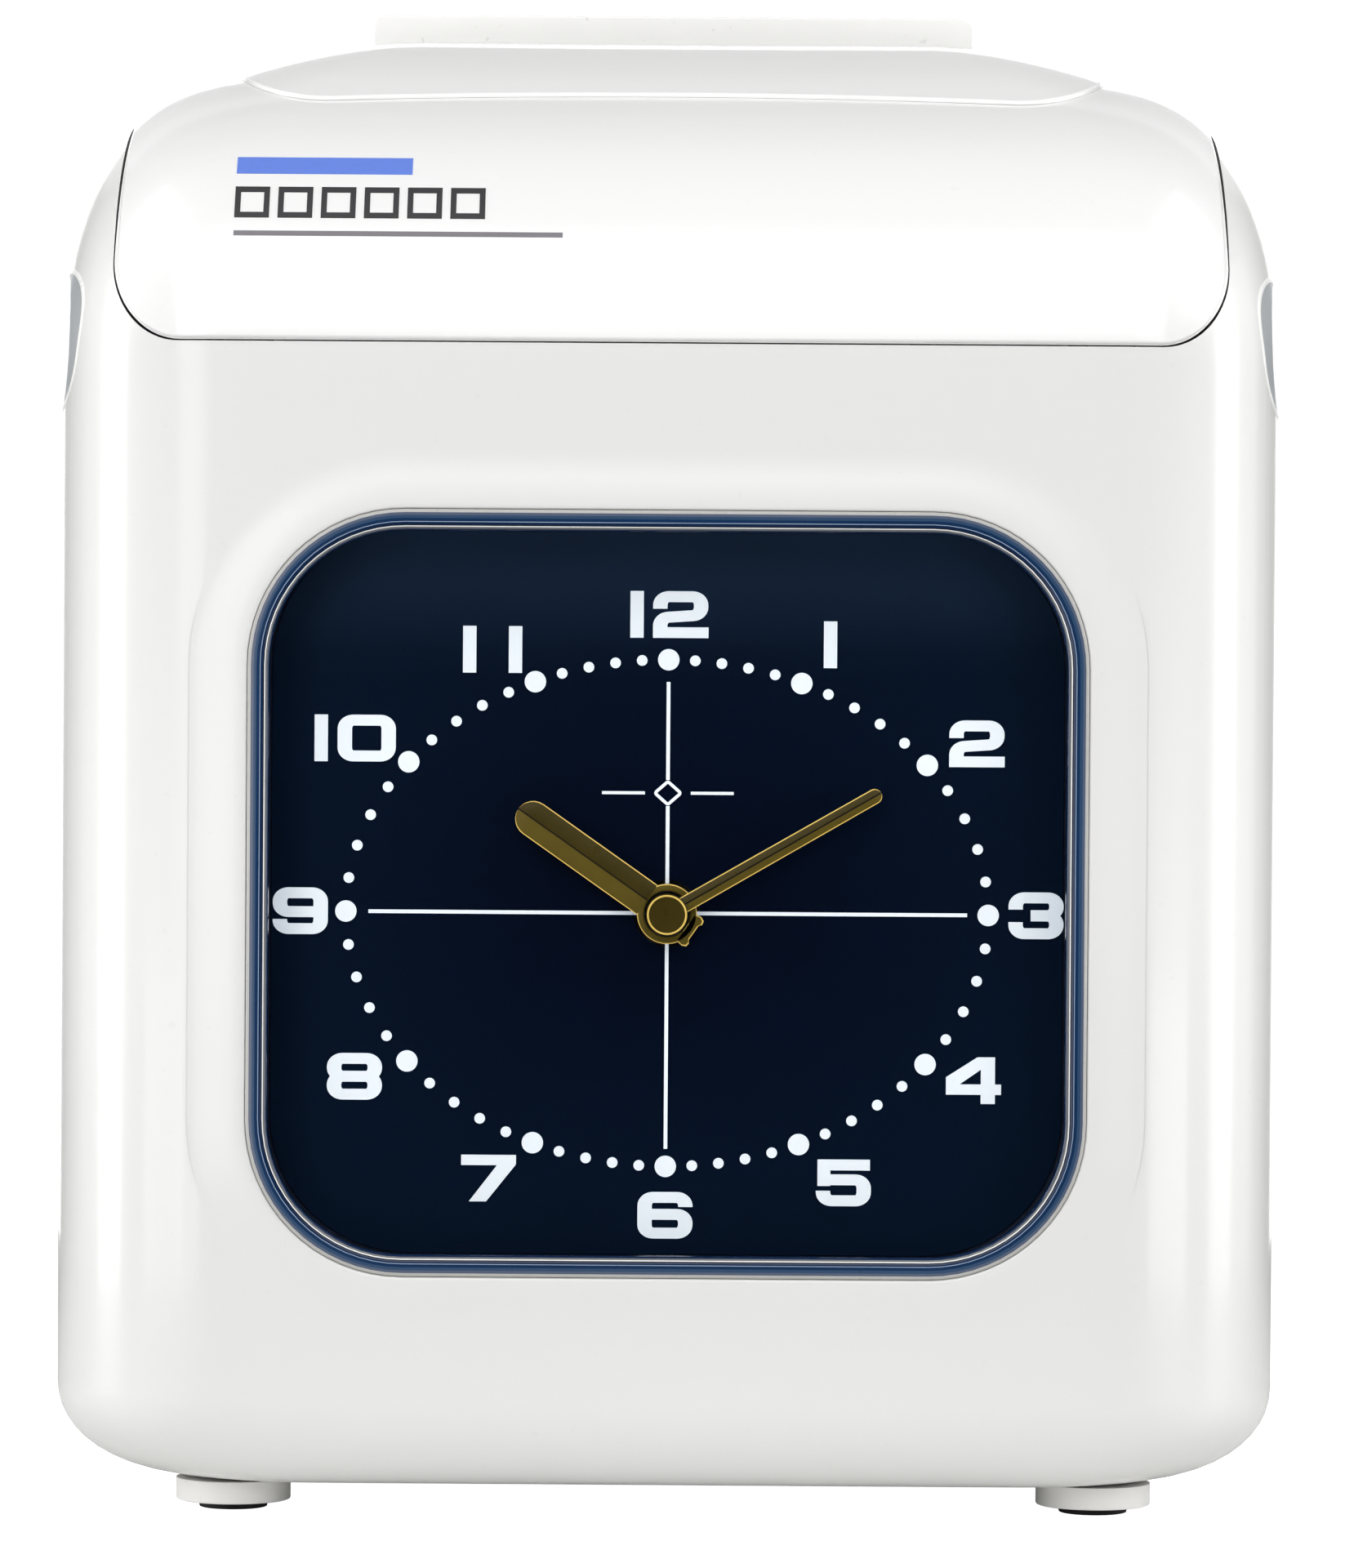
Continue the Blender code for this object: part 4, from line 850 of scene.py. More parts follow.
def make_case_screws():
    for number in range(1, 5):
        low, high = place(f"case_screw_{number}")
        centre = box_middle(low, high, "xz")
        profile = [
            (0.6, 52.0), (1.4, 53.0), (1.4, 63.3), (3.0, 63.3), (3.1, 63.4), (3.1, 64.3),
            (2.95, 64.75), (2.5, 65.15), (1.6, 65.4), (0.5, 65.45),
        ]
        screw = turned(f"screw_head_{number}", "Y", centre, profile, STEEL, steps=40)
        for half_x, half_z in ((1.7, 0.33), (0.33, 1.7)):
            slot = rounded_outline(centre, (half_x, half_z), 0.3, 3)
            cut(screw, prism("recess", slot, "Y", 64.3, 67.0))
        tidy_mesh(screw)
        attach(screw, "case", "zinc_steel", f"case_screw_{number}")


def make_cord_gland():
    low, high = place("cord_gland")
    centre = box_middle(low, high, "xz")
    outer = (high.x - low.x) / 2
    profile = [
        (3.4, low.y), (outer, low.y), (outer, 64.4), (5.0, 64.4), (5.0, 65.6), (5.25, 65.8), (5.3, 66.4),
        (5.1, 66.9), (3.8, 66.95), (3.4, 66.6),
    ]
    gland = turned("gland_grommet", "Y", centre, profile, PAD_RUBBER, closed=True)
    attach(gland, "case", "pad_rubber", "cord_gland")


# ---------------------------------------------------------------- top cover
EDGE_ROUND = 0.45
COVER_ROWS = 84
COVER_INSET = -COVER_PROUD


def cover_stations():
    """Places across the cover: even in the middle, crowded in its rounded lower corners."""
    half = COVER_HALF - EDGE_ROUND
    side = half - COVER_CORNER[0] + EDGE_ROUND
    corner = (half - side, COVER_CORNER[1] - EDGE_ROUND)
    low = COVER_BOTTOM + EDGE_ROUND
    stations = []
    for step in range(15):
        angle = math.radians(90.0 * step / 14)
        stations.append((-side - corner[0] * math.cos(angle), low + corner[1] * (1.0 - math.sin(angle))))
    spans = 76
    for step in range(1, spans):
        stations.append((-side + 2.0 * side * step / spans, low))
    return stations + [(-x, z) for x, z in reversed(stations[:15])]


def cover_column(x, z_start):
    """The cover's outline at one place across it: up its front and over its top."""
    high = BODY_TOP - COVER_INSET
    if section_size(high, COVER_INSET)[0] < abs(x):
        high = last_true(z_start, high, 50, lambda z: section_size(z, COVER_INSET)[0] > abs(x))
    points = []
    count = 320
    for step in range(count + 1):
        share = 1.0 - (1.0 - step / count) ** 3
        z = z_start + (high - z_start) * share
        points.append((front_at(x, z, COVER_INSET), z))
    points.append((COVER_REAR - EDGE_ROUND, high))
    lengths = [0.0]
    for first, second in zip(points, points[1:]):
        lengths.append(lengths[-1] + math.dist(first, second))
    column = []
    index = 0
    for row in range(COVER_ROWS + 1):
        wanted = lengths[-1] * row / COVER_ROWS
        while index < len(lengths) - 2 and lengths[index + 1] < wanted:
            index += 1
        share = (wanted - lengths[index]) / max(1e-9, lengths[index + 1] - lengths[index])
        first, second = points[index], points[index + 1]
        y, z = (begin + share * (finish - begin) for begin, finish in zip(first, second))
        column.append(Vector((x, y, z)))
    return column


COVER_SKIRT = (
    # distance out from the panel's edge, depth below its face
    (0.17, 0.03), (0.32, 0.13), (0.42, 0.28), (EDGE_ROUND, EDGE_ROUND),
)
FLANGE_DEPTHS = (0.46, 1.3)
FLANGE_FILL = SEAM - 0.04


def flange_share(i, j, last, end):
    """The skirt's flange fills the gap along the sides and half of it along the lower edge."""
    if i in (0, last):
        return 1.0
    if j == end:
        return 0.0
    return max(0.5, 1.0 - min(i, last - i) / 14.0)


def flange_reach(outward, normal, depth, share):
    """How far out the flange stands at a depth, to run along the wall of the housing's opening."""
    if share == 0.0:
        return EDGE_ROUND
    across = Vector((outward.x, 0.0, outward.z))
    lean = across.normalized().dot(normal)
    return (EDGE_ROUND + share * FLANGE_FILL + lean * depth) / max(0.45, across.length)


def skirt_rings(columns, normals, loop):
    """Rings round the panel's border: its rounded edge, then the flange that goes down inside."""
    last, end = len(columns) - 1, COVER_ROWS
    rings = [[] for _ in range(len(COVER_SKIRT) + len(FLANGE_DEPTHS))]
    for index, (i, j) in enumerate(loop):
        before = columns[loop[index - 1][0]][loop[index - 1][1]]
        nearby = loop[(index + 1) % len(loop)]
        after = columns[nearby[0]][nearby[1]]
        normal = normals[i][j]
        outward = (after - before).cross(normal).normalized()
        share = flange_share(i, j, last, end)
        levels = list(COVER_SKIRT)
        levels += [(flange_reach(outward, normal, depth, share), depth) for depth in FLANGE_DEPTHS]
        for ring, (reach, depth) in zip(rings, levels):
            ring.append(columns[i][j] + outward * reach - normal * depth)
    return rings


def make_top_cover():
    columns = [cover_column(x, z) for x, z in cover_stations()]
    normals = [[form_normal(point, COVER_INSET) for point in column] for column in columns]
    last, end = len(columns) - 1, COVER_ROWS
    loop = [(i, 0) for i in range(last)] + [(last, j) for j in range(end)]
    loop += [(i, end) for i in range(last, 0, -1)] + [(0, j) for j in range(end, 0, -1)]
    shape = Shape()
    outer = [shape.add(column) for column in columns]
    inner = [
        shape.add([point - normal * COVER_THICK for point, normal in zip(column, line)])
        for column, line in zip(columns, normals)
    ]
    for grid in (outer, inner):
        for first, second in zip(grid, grid[1:]):
            shape.band(first, second, closed=False)
    rings = [shape.add(ring) for ring in skirt_rings(columns, normals, loop)]
    edge = [outer[i][j] for i, j in loop]
    back = [inner[i][j] for i, j in loop]
    for lower, upper in zip([edge] + rings, rings + [back]):
        shape.band(lower, upper)
    cover = shape.make("cover_panel", COVER_WHITE, smooth=50.0)
    cut(cover, box("throat_hole", (-46.9, 1.8, 170.0), (46.9, 16.0, 210.0)))
    centre = (HINGE_Y, HINGE_Z)
    join(cover, cylinder("barrel", "X", centre, BARREL_RADIUS, -BARREL_HALF, BARREL_HALF))
    for side in (-1, 1):
        near, far = sorted((side * 50.0, side * 54.75))
        cut(cover, box("notch", (near, 43.9, 186.0), (far, 50.0, 196.0)))
        cut(cover, cylinder("bore", "X", centre, PIN_RADIUS + 0.1, side * 43.5, side * 51.0))
    tidy_mesh(cover, 50.0, 0.01)
    flatten_shading(cover)
    attach(cover, "cover", "housing_plastic", "top_cover")


def on_cover(x, z, lift):
    """A point at a height above the cover's front surface."""
    point = Vector((x, front_at(x, z, COVER_INSET), z))
    return point + form_normal(point, COVER_INSET) * lift


def cover_mark(name, finish, bars, thickness=0.04):
    """Flat printed bars that lie on the cover. Each bar is left, right, low and high."""
    shape = Shape()
    for left, right, low, high in bars:
        across, upward = max(2, round((right - left) / 1.5)), max(1, round((high - low) / 0.6))
        layers = []
        for lift in (-0.03, thickness):
            layers.append([
                shape.add([
                    on_cover(left + (right - left) * i / across, low + (high - low) * j / upward, lift)
                    for i in range(across + 1)
                ])
                for j in range(upward + 1)
            ])
        for rows in layers:
            for first, second in zip(rows, rows[1:]):
                shape.band(first, second, closed=False)
        borders = []
        for rows in layers:
            border = rows[0][:-1] + [row[-1] for row in rows[:-1]]
            border += rows[-1][:0:-1] + [row[0] for row in rows[:0:-1]]
            borders.append(border)
        shape.band(*borders)
    mark = shape.make(name, finish)
    attach(mark, "cover", "housing_plastic")


def make_cover_marks():
    """A generic badge: a blue rule, a row of dark open squares and a thin grey rule."""
    left = -56.7
    cover_mark("badge_blue_rule", MARK_BLUE, [(left, left + 22.9, 174.9, 177.2)])
    bars = []
    low, high, line = 168.9, 173.1, 0.75
    for number in range(6):
        start = left + 5.6 * number
        end = start + 4.5
        bars += [(start, end, low, low + line), (start, end, high - line, high)]
        bars += [(start, start + line, low + line, high - line), (end - line, end, low + line, high - line)]
    cover_mark("badge_squares", MARK_DARK, bars)
    cover_mark("badge_grey_rule", MARK_GREY, [(left, left + 42.6, 166.5, 167.15)])


# ---------------------------------------------------------------- slot bezel and card guide
def cap_outline(inset, steps=14):
    """The bezel in plan: a long rounded lozenge with a slightly hollow front edge."""
    side, rear_y, front_y = 45.5, 12.0, -12.0
    rear_reach = (CAP_HALF_WIDTH - side - inset, CAP_REAR - rear_y - inset)
    front_reach = (rear_reach[0], front_y - CAP_FRONT - inset)
    outline = corner_arc((side, rear_y), rear_reach, 0, 2.4, steps)
    outline += corner_arc((-side, rear_y), rear_reach, 90, 2.4, steps)
    outline += corner_arc((-side, front_y), front_reach, 180, 2.4, 2 * steps)
    for step in range(1, 24):
        x = side * (step / 12.0 - 1.0)
        outline.append((x, CAP_FRONT + inset + CAP_BOW * (1.0 - (x / side) ** 2)))
    return outline + corner_arc((side, front_y), front_reach, 270, 2.4, 2 * steps)


def cap_form(name, *finishes, inset=0.0):
    """The low rise round the card mouth. Its rounded edge follows the cover, and its top is flat."""
    base = [surface_height(x, y, -COVER_PROUD) for x, y in cap_outline(0.0)]
    rings = [[(x, y, 178.0) for x, y in cap_outline(inset)]]
    for step in range(6):
        angle = math.radians(90.0 * step / 5)
        drawn = inset + CAP_ROUND * (1.0 - math.cos(angle))
        lift = CAP_LIP - inset - CAP_ROUND * (1.0 - math.sin(angle))
        rings.append([(x, y, z + lift) for (x, y), z in zip(cap_outline(drawn), base)])
    start = rings[-1]
    for step in range(1, 17):
        share = step / 16.0
        rise = 1.0 - (1.0 - share) ** 1.5
        ring = []
        for x, y, z in start:
            inner_x = x * CAP_TOP_HALF_WIDTH / CAP_HALF_WIDTH
            inner_y = CAP_TOP_FRONT + (y - CAP_FRONT) * CAP_TOP_DEPTH / (CAP_REAR - CAP_FRONT)
            height = z + (CAP_TOP - inset - z) * rise
            ring.append((x + (inner_x - x) * share, y + (inner_y - y) * share, height))
        rings.append(ring)
    return lofted(name, rings, *finishes)


def make_slot_bezel():
    bezel = cap_form("slot_bezel_cap", COVER_WHITE)
    cut(bezel, cap_form("hollow", inset=1.6), body_form("seat", -COVER_PROUD - 0.06))
    join(bezel, box("throat", (-46.3, 2.4, 181.0), (46.3, 15.4, 195.4)))
    mouth = (
        (4.2, 178.0), (10.6, 178.0), (10.6, 191.0), (10.75, 194.0), (11.2, 195.7), (11.6, 196.6),
        (11.6, 200.0), (1.2, 200.0), (1.2, 196.6), (2.2, 195.8), (3.6, 193.6), (4.2, 191.0),
    )
    cut(bezel, prism("mouth", mouth, "X", -44.0, 44.0))
    cut(bezel, box("guide_pocket", (-42.3, 11.7, 187.0), (42.3, 13.7, 200.0)))
    join(bezel, box("ledge", (-44.4, 12.0, 196.0), (-42.35, 13.6, 197.25)))
    tidy_mesh(bezel, 40.0, 0.01)
    flatten_shading(bezel)
    attach(bezel, "cover", "housing_plastic", "slot_bezel")


def make_card_guide():
    low, high = place("card_guide")
    half, corner = high.x, 1.5
    outline = [(-half, low.z), (half, low.z)]
    outline += corner_arc((half - corner, high.z - corner), (corner, corner), 0, 2.0, 8)
    outline += corner_arc((corner - half, high.z - corner), (corner, corner), 90, 2.0, 8)
    guide = prism("card_guide_strip", outline, "Y", low.y, high.y, GUIDE_WHITE)
    soften(guide, 0.25, 3)
    attach(guide, "cover", "guide_plastic", "card_guide")
    ribs = Shape()
    for x in (-30.0, -10.0, 10.0, 30.0):
        rings = []
        for z, reach in ((198.6, 0.05), (199.4, 0.35), (200.9, 0.35), (201.3, 0.05)):
            rings.append([(x - 0.5, high.y - 0.1, z), (x + 0.5, high.y - 0.1, z),
                          (x + 0.5, high.y + reach, z), (x - 0.5, high.y + reach, z)])
        ribs.loft(rings)
    attach(ribs.make("card_guide_ribs", GUIDE_WHITE), "cover", "guide_plastic")


# ---------------------------------------------------------------- release buttons
def make_release_buttons():
    wall = BODY_HALF_WIDTH
    for side, word in ((-1, "left"), (1, "right")):
        outline = oval_outline((DISH_HALF[0] - GAP, DISH_HALF[1] - GAP))
        dish = prism(f"finger_dish_{word}", outline, "X", side * 60.0, side * FAR, DISH_GREY)
        combine(dish, body_form("outside", 0.05), "INTERSECT")
        near, far = sorted((0.0, side * (wall - 6.0)))
        cut(dish, box("inside", (near, -70.0, 130.0), (far, 0.0, 180.0)))
        scoop = [
            (0.5, wall - 6.5), (4.6, wall - 3.5), (6.2, wall - 2.9), (7.6, wall - 2.1), (8.6, wall - 1.2),
            (9.3, wall - 0.3), (10.2, wall + 7.5),
        ]
        scoop = [(radius, side * along) for radius, along in scoop]
        cut(dish, turned("scoop", "X", (BUTTON_Y, BUTTON_Z), scoop))
        hole = oval_outline((BUTTON_HALF[0] + GAP, BUTTON_HALF[1] + GAP), 48)
        cut(dish, prism("hole", hole, "X", side * 60.0, side * FAR))
        tidy_mesh(dish, 35.0, 0.01)
        soften(dish, 0.2, 2, 45.0)
        attach(dish, "case", "dish_plastic", f"button_bezel_{word}")
        make_dish_outline(side, word)
        make_button(side, word)


def make_button(side, word):
    """A release button's cap with a dished face and a bright edge, a painted highlight, on its spring arm."""
    low, high = place(f"release_button_{word}")
    inner = min(abs(low.x), abs(high.x))
    face = BUTTON_FACE
    profile = (
        (0.0, inner + 1.2, 0), (0.0, face - 0.5, 1), (0.15, face - 0.18, 1), (0.4, face, 1),
        (0.7, face - 0.05, 0), (1.4, face - 0.25, 0), (2.6, face - 0.5, 0),
    )
    rings = []
    for inset, along, _ in profile:
        outline = oval_outline((BUTTON_HALF[0] - inset, BUTTON_HALF[1] - inset), 48)
        rings.append([(side * along, y, z) for y, z in outline])
    marks = [mark for _, _, mark in profile][:-1]
    button = lofted(f"release_cap_{word}", rings, BUTTON_GREY, EDGE_HIGHLIGHT_WHITE, marks=marks)
    near, far = sorted((side * inner, side * (inner + 1.8)))
    join(button, box("spring_arm", (near, low.y, low.z), (far, high.y, high.z)))
    tidy_mesh(button)
    attach(button, f"button_{word}", "button_plastic", f"release_button_{word}")


def side_at(y, z):
    """How far out the side wall is at a place along it."""
    half, front, _ = section_size(z, 0.0)
    share = min(1.0, max(0.0, (front + CORNER_FRONT[1] - y) / CORNER_FRONT[1]))
    return half - rounding(share, CORNER_FRONT[0], CORNER_EXPONENT)


def make_dish_outline(side, word):
    """A thin raised bead that runs round the finger dish, on the case's skin; its bright white is a painted
    highlight.
    """
    rings = []
    for reach, lift in ((-0.25, -0.4), (-0.32, 0.02), (-0.1, 0.1), (0.12, 0.1), (0.32, 0.02), (0.25, -0.4)):
        outline = oval_outline((DISH_HALF[0] + reach, DISH_HALF[1] + reach))
        rings.append([(side * (side_at(y, z) + lift), y, z) for y, z in outline])
    bead = lofted(f"dish_bead_{word}", rings, EDGE_HIGHLIGHT_WHITE, closed=True)
    attach(bead, "case", "dish_plastic")


# ---------------------------------------------------------------- window, tray and dial
RIM_STEPS = (
    # inset from the window's outline, depth y, number of the finish of the band that follows
    (0.0, -61.9, 0), (-2.5, -62.3, 0), (-2.5, -63.4, 0), (-0.24, -63.4, 0), (-0.24, -66.45, 0),
    (-0.14, -66.6, 0), (0.0, -66.65, 0), (0.20, -66.66, 1), (0.55, -66.70, 2), (0.95, -66.72, 3),
    (1.35, -66.72, 4), (1.45, -66.72, 5), (1.78, -66.66, 6), (1.92, -66.60, 7), (2.05, -66.58, 8),
    (2.28, -66.50, 5), (2.48, -66.30, 5), (2.60, -65.30, 6), (1.80, -64.40, 0), (1.80, -61.9, 0),
)
WINDOW_EDGE = 2.6


def make_window():
    rings = [upright(lens_outline(inset), y) for inset, y, _ in RIM_STEPS]
    marks = [mark for _, _, mark in RIM_STEPS]
    # The rim's bands carry painted highlights, shade and reflection.
    rim = lofted("window_rim", rings, *RIM_PAINTED_LIGHT_BANDS, marks=marks, closed=True, smooth=60.0)
    attach(rim, "case", "lens_plastic", "clock_lens")
    attach(make_pane(), "case", "lens_plastic")


def make_pane():
    """The window itself, very slightly domed."""
    flat_y, dome, thickness = -66.3, 0.36, 0.8
    outer = [upright(lens_outline(WINDOW_EDGE + inset), flat_y) for inset in (0.0, 1.5)]
    border = outer[-1]
    for share in (0.94, 0.87, 0.78, 0.67, 0.54, 0.40, 0.25, 0.10):
        y = flat_y - dome * (1.0 - share ** 2)
        outer.append([(x * share, y, LENS_CENTRE_Z + (z - LENS_CENTRE_Z) * share) for x, _, z in border])
    inner = [[(x, y + thickness, z) for x, y, z in ring] for ring in outer]
    shape = Shape()
    front = shape.loft(outer, ends=False)
    back = shape.loft(inner, ends=False)
    shape.face(front[-1])
    shape.face(back[-1])
    shape.band(front[0], back[0])
    return shape.make("window_pane", WINDOW, smooth=60.0)


def make_tray():
    low, high = place("dial_tray")
    outer = ((high.x, high.z - LENS_CENTRE_Z), 22.0)
    inner = ((52.2, 47.9), 18.5)
    steps = (
        (outer, 0.0, high.y), (outer, 0.0, low.y + 0.3), (outer, 0.3, low.y), (inner, -2.0, low.y),
        (inner, -1.4, low.y + 0.8), (inner, -0.6, low.y + 1.6), (inner, -0.3, low.y + 4.0),
        (inner, 0.0, -54.2),
    )
    rings = []
    for (half, corner), inset, y in steps:
        outline = rounded_outline((0.0, LENS_CENTRE_Z), (half[0] - inset, half[1] - inset), corner - inset)
        rings.append(upright(outline, y))
    tray = lofted("dial_tray_ring", rings, TRAY_NAVY)
    cut(tray, cylinder("hole", "Y", (0.0, DIAL_Z), 4.4, -60.0, -50.0))
    tidy_mesh(tray)
    attach(tray, "case", "navy_plastic", "dial_tray")


def make_dial():
    rings = []
    for inset, y in ((0.0, DIAL_HIGH.y), (0.0, DIAL_FACE_Y + 0.12), (0.12, DIAL_FACE_Y)):
        half = (DIAL_HIGH.x - inset, DIAL_HIGH.z - LENS_CENTRE_Z - inset)
        rings.append(upright(rounded_outline((0.0, LENS_CENTRE_Z), half, 18.2 - inset), y))
    dial = lofted("dial_face", rings, DIAL_PAINT_AND_REFLECTION)
    cut(dial, cylinder("hole", "Y", (0.0, DIAL_Z), 4.4, -60.0, -50.0))
    tidy_mesh(dial)
    attach(dial, "case", "dial_paint", "dial_plate")


# ---------------------------------------------------------------- numerals
PEN = (0.94, 0.71)
INK = 0.06
DIGIT_SIDE = 2.66
DIGIT_TOP = 2.34


def fillet(points, radius, closed):
    """Replace the corners of a path by arcs, each as (x, z, heading in radians)."""
    count = len(points)
    path = []
    for index in range(count):
        here = Vector(points[index][:2])
        if not closed and index in (0, count - 1):
            other = Vector(points[1 if index == 0 else count - 2][:2])
            run = other - here if index == 0 else here - other
            path.append((here.x, here.y, math.atan2(run.y, run.x)))
            continue
        before = (here - Vector(points[index - 1][:2])).normalized()
        after = (Vector(points[(index + 1) % count][:2]) - here).normalized()
        turn = before.angle_signed(after)
        start = math.atan2(before.y, before.x)
        reach = radius * math.tan(abs(turn) / 2)
        side = -math.copysign(1.0, turn)
        begin = here - before * reach
        centre = begin + Vector((-before.y, before.x)) * side * radius
        for step in range(11):
            heading = start - turn * step / 10
            spot = centre + Vector((math.sin(heading), -math.cos(heading))) * side * radius
            path.append((spot.x, spot.y, heading))
    return path


def pen_edges(points, radius, closed, pen):
    """The two edges that an oval pen draws along a path with rounded corners."""
    left, right = [], []
    for x, z, heading in fillet(points, radius, closed):
        across, up = -math.sin(heading), math.cos(heading)
        size = math.hypot(pen[0] * across, pen[1] * up)
        shift = (pen[0] ** 2 * across / size, pen[1] ** 2 * up / size)
        left.append((x + shift[0], z + shift[1]))
        right.append((x - shift[0], z - shift[1]))
    return left, right


def lay_stroke(shape, points, centre, layer, closed=False, radius=1.1, pen=PEN):
    """Lay one stroke of ink on the dial. Layers keep the faces of crossing strokes apart."""
    edges = []
    for outline in pen_edges(points, radius, closed, pen):
        for y in (DIAL_FACE_Y - INK - 0.004 * layer, DIAL_FACE_Y + 0.04):
            edges.append(shape.add([(centre[0] + x, y, centre[1] + z) for x, z in outline]))
    left_front, left_back, right_front, right_back = edges
    for first, second in ((left_front, right_front), (right_front, right_back), (right_back, left_back),
                          (left_back, left_front)):
        shape.band(first, second, closed=closed)
    if not closed:
        for end in (0, -1):
            shape.face((left_front[end], right_front[end], right_back[end], left_back[end]))


def lay_area(shape, points, centre, layer):
    front, back = DIAL_FACE_Y - INK - 0.004 * layer, DIAL_FACE_Y + 0.04
    shape.loft([[(centre[0] + x, y, centre[1] + z) for x, z in points] for y in (front, back)])


def digit_parts(digit):
    """Strokes, closed strokes and filled areas of a digit, about its middle."""
    s, t = DIGIT_SIDE, DIGIT_TOP
    end = t + PEN[1]
    edge = s + PEN[0]
    if digit == "1":
        return [], [], [[(-0.87, -end), (0.87, -end), (0.87, end), (-0.87, end)]]
    if digit == "0":
        wide = s + 0.2
        return [], [[(-wide, t), (-wide, -t), (wide, -t), (wide, t)]], []
    if digit == "2":
        bar = [(-edge, -end), (edge + 0.05, -end), (edge + 0.05, 1.4 - end), (-edge, 1.4 - end)]
        return [[(-s, 0.75), (-s, t), (s, t), (s, -0.05), (-s, -0.42), (-s, -end + 0.3)]], [], [bar]
    if digit == "3":
        upper = [(-s, 0.8), (-s, t), (s, t), (s, 0.02), (-0.7, 0.02)]
        lower = [(-0.7, -0.02), (s, -0.02), (s, -t), (-s, -t), (-s, -0.85)]
        return [upper, lower], [], []
    if digit == "4":
        post = [(0.95, -end), (2.8, -end), (2.8, end), (0.95, end)]
        bar = [(-edge, -1.86), (edge, -1.86), (edge, -0.5), (-edge, -0.5)]
        slope = [
            (-edge, -0.9), (-edge, 0.42), (0.5, end), (1.4, end), (1.4, 1.75), (-1.75, -0.45), (-1.75, -0.9),
        ]
        return [], [], [post, bar, slope]
    if digit == "5":
        post = [(-s - 0.74, -0.42), (-s + 0.94, -0.42), (-s + 0.94, end), (-s - 0.74, end)]
        bar = [(-s - 0.74, t - PEN[1]), (edge - 0.15, t - PEN[1]), (edge - 0.15, end), (-s - 0.74, end)]
        return [[(-s + 0.2, 0.40), (s, 0.40), (s, -t), (-s, -t), (-s, -1.05)]], [], [post, bar]
    if digit == "6":
        outer = [(s, 1.1), (s, t), (-s, t), (-s, -t), (0.0, -t)]
        bowl = [(-0.05, -t), (s, -t), (s, 0.12), (-s + 0.3, 0.12)]
        return [outer, bowl], [], []
    if digit == "7":
        bar = [(-3.58, end), (3.58, end), (3.58, 1.82)]
        return [], [], [bar + [(-0.3, -end), (-2.55, -end), (1.1, 1.7), (-3.58, 1.7)]]
    if digit == "8":
        upper = [(-s, t), (-s, 0.0), (s, 0.0), (s, t)]
        return [], [upper, [(x, z - t) for x, z in upper]], []
    strokes = digit_parts("6")[0]
    return [[(-x, -z) for x, z in points] for points in strokes], [], []


NUMERALS = (
    ("12", 0.0, 39.0), ("1", 21.1, 35.2), ("2", 40.3, 22.4), ("3", 48.2, 0.0), ("4", 40.2, -21.6),
    ("5", 23.3, -35.1), ("6", 0.0, -39.5), ("7", -23.1, -34.8), ("8", -40.7, -21.6), ("9", -47.9, 0.0),
    ("10", -40.9, 22.6), ("11", -23.0, 34.3),
)
DIGIT_WIDTH = {"1": 1.88, "0": 7.6}
DIGIT_GAP = {"12": 1.15, "10": 1.2, "11": 4.1}


def make_numerals():
    shape = Shape()
    for text, x, z in NUMERALS:
        widths = [DIGIT_WIDTH.get(digit, 7.2) for digit in text]
        gap = DIGIT_GAP.get(text, 0.0)
        left = x - (sum(widths) + gap * (len(text) - 1)) / 2
        for digit, width in zip(text, widths):
            centre = (left + width / 2, DIAL_Z + z)
            strokes, loops, areas = digit_parts(digit)
            layer = 0
            for points in strokes:
                lay_stroke(shape, points, centre, layer)
                layer += 1
            for points in loops:
                lay_stroke(shape, points, centre, layer, closed=True)
                layer += 1
            for points in areas:
                lay_area(shape, points, centre, layer)
                layer += 1
            left += width + gap
    attach(shape.make("dial_numerals", DIAL_INK_AND_GLOW), "case", "dial_paint")


DOT_RING = (41.95, 33.1)
INK_DEPTHS = (DIAL_FACE_Y - INK, DIAL_FACE_Y + 0.05)


def make_minute_dots():
    dots = Shape()
    for minute in range(60):
        angle = math.radians(6.0 * minute)
        across, up = math.sin(angle), math.cos(angle)
        reach = 1.0 / math.hypot(across / DOT_RING[0], up / DOT_RING[1])
        radius, steps = (1.4, 32) if minute % 5 == 0 else (0.7, 20)
        ring = circle((across * reach, DIAL_Z + up * reach), radius, steps)
        dots.loft([upright(ring, y) for y in INK_DEPTHS])
    attach(dots.make("dial_minute_dots", DIAL_INK_AND_GLOW), "case", "dial_paint")


def make_cross_lines():
    """A fine cross that stops short of the hub and of the small mark over it."""
    lines = Shape()
    half = 0.24
    runs = (
        (-39.0, -3.3, -half, half), (3.3, 39.2, -half, half),
        (-half, half, -30.8, -3.3), (-half, half, 3.3, 14.0), (-half, half, 17.4, 30.2),
    )
    for left, right, bottom, top in runs:
        corners = ((left, bottom), (right, bottom), (right, top), (left, top))
        corners = [(x, DIAL_Z + z) for x, z in corners]
        lines.loft([upright(corners, y) for y in INK_DEPTHS])
    attach(lines.make("dial_cross_lines", DIAL_INK_AND_GLOW), "case", "dial_paint")


